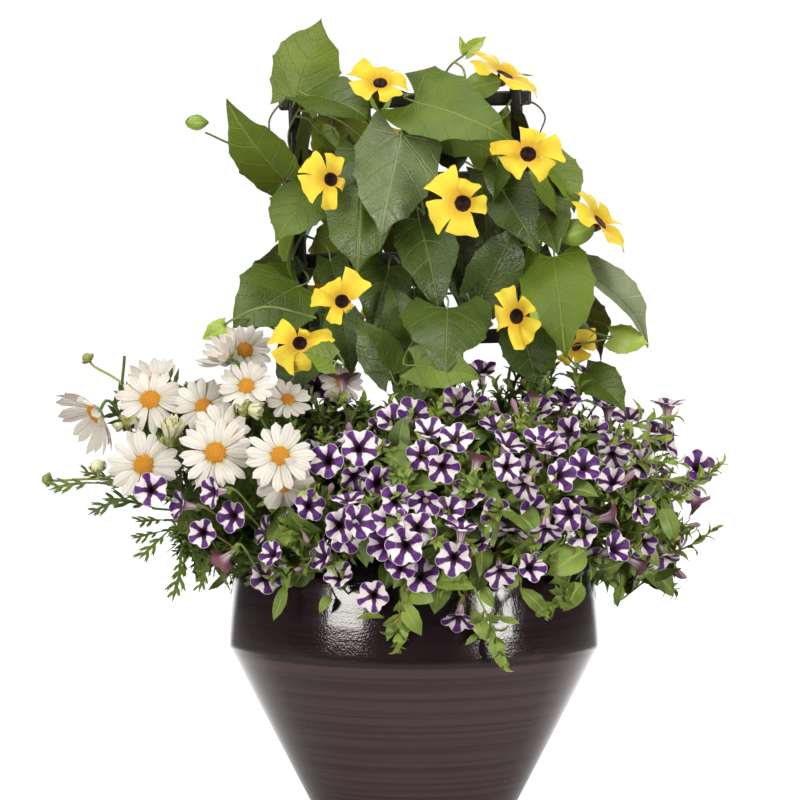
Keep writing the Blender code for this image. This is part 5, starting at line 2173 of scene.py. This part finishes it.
@dataclass
class Studio:
    """Pale floor, soft boxes, a plain world and the camera."""

    target: tuple = (-0.0114, 0.0, 0.361)
    distance: float = 2.6
    elevation: float = math.radians(3.0)
    view_width: float = 0.6536
    sensor: float = 36.0
    ambient: float = 0.19
    floor_white: float = 0.98
    floor_grey: float = 0.38

    def build(self) -> None:
        """Set up everything round the object."""
        self.add_camera()
        self.add_world()
        self.add_floor()
        self.add_box("key_box", (-1.48, -1.66, 0.66), (0.9, 0.72), 28.0)
        self.add_box("fill_box", (1.7, -1.45, 0.57), (0.9, 0.76), 33.0)
        self.add_box("top_box", (-0.3, -0.9, 2.4), (1.8, 1.8), 36.0)
        self.add_box("back_box", (0.5, 2.2, 1.6), (1.4, 1.0), 24.0)
        bpy.context.scene.view_settings.view_transform = "Standard"

    def add_camera(self) -> None:
        """The camera, a little above the middle of the object."""
        data = bpy.data.cameras.new("camera")
        data.sensor_width = self.sensor
        data.lens = self.sensor * self.distance / self.view_width
        camera = bpy.data.objects.new("camera", data)
        target = Vector(self.target)
        back = Vector((0.0, -math.cos(self.elevation), math.sin(self.elevation))) * self.distance
        camera.location = target + back
        camera.rotation_euler = (-back).to_track_quat("-Z", "Y").to_euler()
        bpy.context.scene.collection.objects.link(camera)
        bpy.context.scene.camera = camera

    def add_box(self, name: str, place: tuple, size: tuple, watts: float) -> None:
        """One soft box aimed at the plants.

        Args:
            name: The lamp's name.
            place: Where it stands.
            size: Its two sides.
            watts: Its power.
        """
        data = bpy.data.lights.new(name, "AREA")
        data.shape = "RECTANGLE"
        data.size, data.size_y = size
        data.energy = watts
        data.color = (1.0, 0.97, 0.92)
        lamp = bpy.data.objects.new(name, data)
        lamp.location = place
        lamp.rotation_euler = (Vector((0.0, 0.0, 0.3)) - Vector(place)).to_track_quat("-Z", "Y").to_euler()
        bpy.context.scene.collection.objects.link(lamp)

    def add_world(self) -> None:
        """A soft world: white where it is seen, darker towards the front in reflections."""
        world = bpy.data.worlds.new("studio_world")
        bpy.context.scene.world = world
        recipe = Backdrop(world)
        _, ahead, _ = recipe.axes(recipe.node("ShaderNodeTexCoord", output="Generated"))
        mirrored = ahead.ramp(0.82, 0.93, 0.05, 1.7)  # nearly dark, but for a bright wall behind
        values = (recipe.ray("Glossy"), None, self.ambient, mirrored)
        strength = recipe.node("ShaderNodeMix", {"data_type": "FLOAT"}, *values)
        light = recipe.node("ShaderNodeBackground", None, "ffffff", recipe.ray("Camera").most(strength))
        recipe.raw("ShaderNodeOutputWorld", None, light)

    def add_floor(self) -> None:
        """A wide white floor that keeps the object's shadow."""
        clean_slate()
        bpy.ops.mesh.primitive_plane_add(size=60.0, location=(0.0, 0.0, -0.0002))
        floor = bpy.context.object
        floor.name = "studio_floor"
        material = bpy.data.materials.new("studio_floor")
        recipe = Backdrop(material)
        own = recipe.place()
        _, depth, _ = recipe.axes(own)
        reach = recipe.node("ShaderNodeVectorMath", {"operation": "LENGTH"}, own, output="Value")
        # in reflections the floor is dark in front, and bright behind, near the object or straight back
        behind = (depth / reach).ramp(0.82, 0.9)
        bright = depth.ramp(-0.02, 0.6, 0.0, 1.55) * reach.ramp(1.2, 0.8).most(behind)
        shown = recipe.ray("Camera") * self.floor_white + recipe.ray("Glossy") * bright
        glow = recipe.node("ShaderNodeEmission", None, None, shown)
        matt = recipe.node("ShaderNodeBsdfDiffuse", None, depth.ramp(-1.1, -0.55) * self.floor_grey)
        recipe.raw("ShaderNodeOutputMaterial", None, recipe.node("ShaderNodeAddShader", None, glow, matt))
        floor.data.materials.append(material)


def main() -> None:
    """Build the planter and its studio."""
    logging.basicConfig(level=logging.INFO, format="%(name)s: %(message)s")
    Studio().build()
    pot = Pot()
    pot.build()
    Soil(pot).build()
    trellis = Trellis()
    trellis.build()
    Vine(trellis).build()
    mound = Mound()
    Calibrachoa(mound).build()
    Daisies(mound).build()


if __name__ == "__main__":
    main()
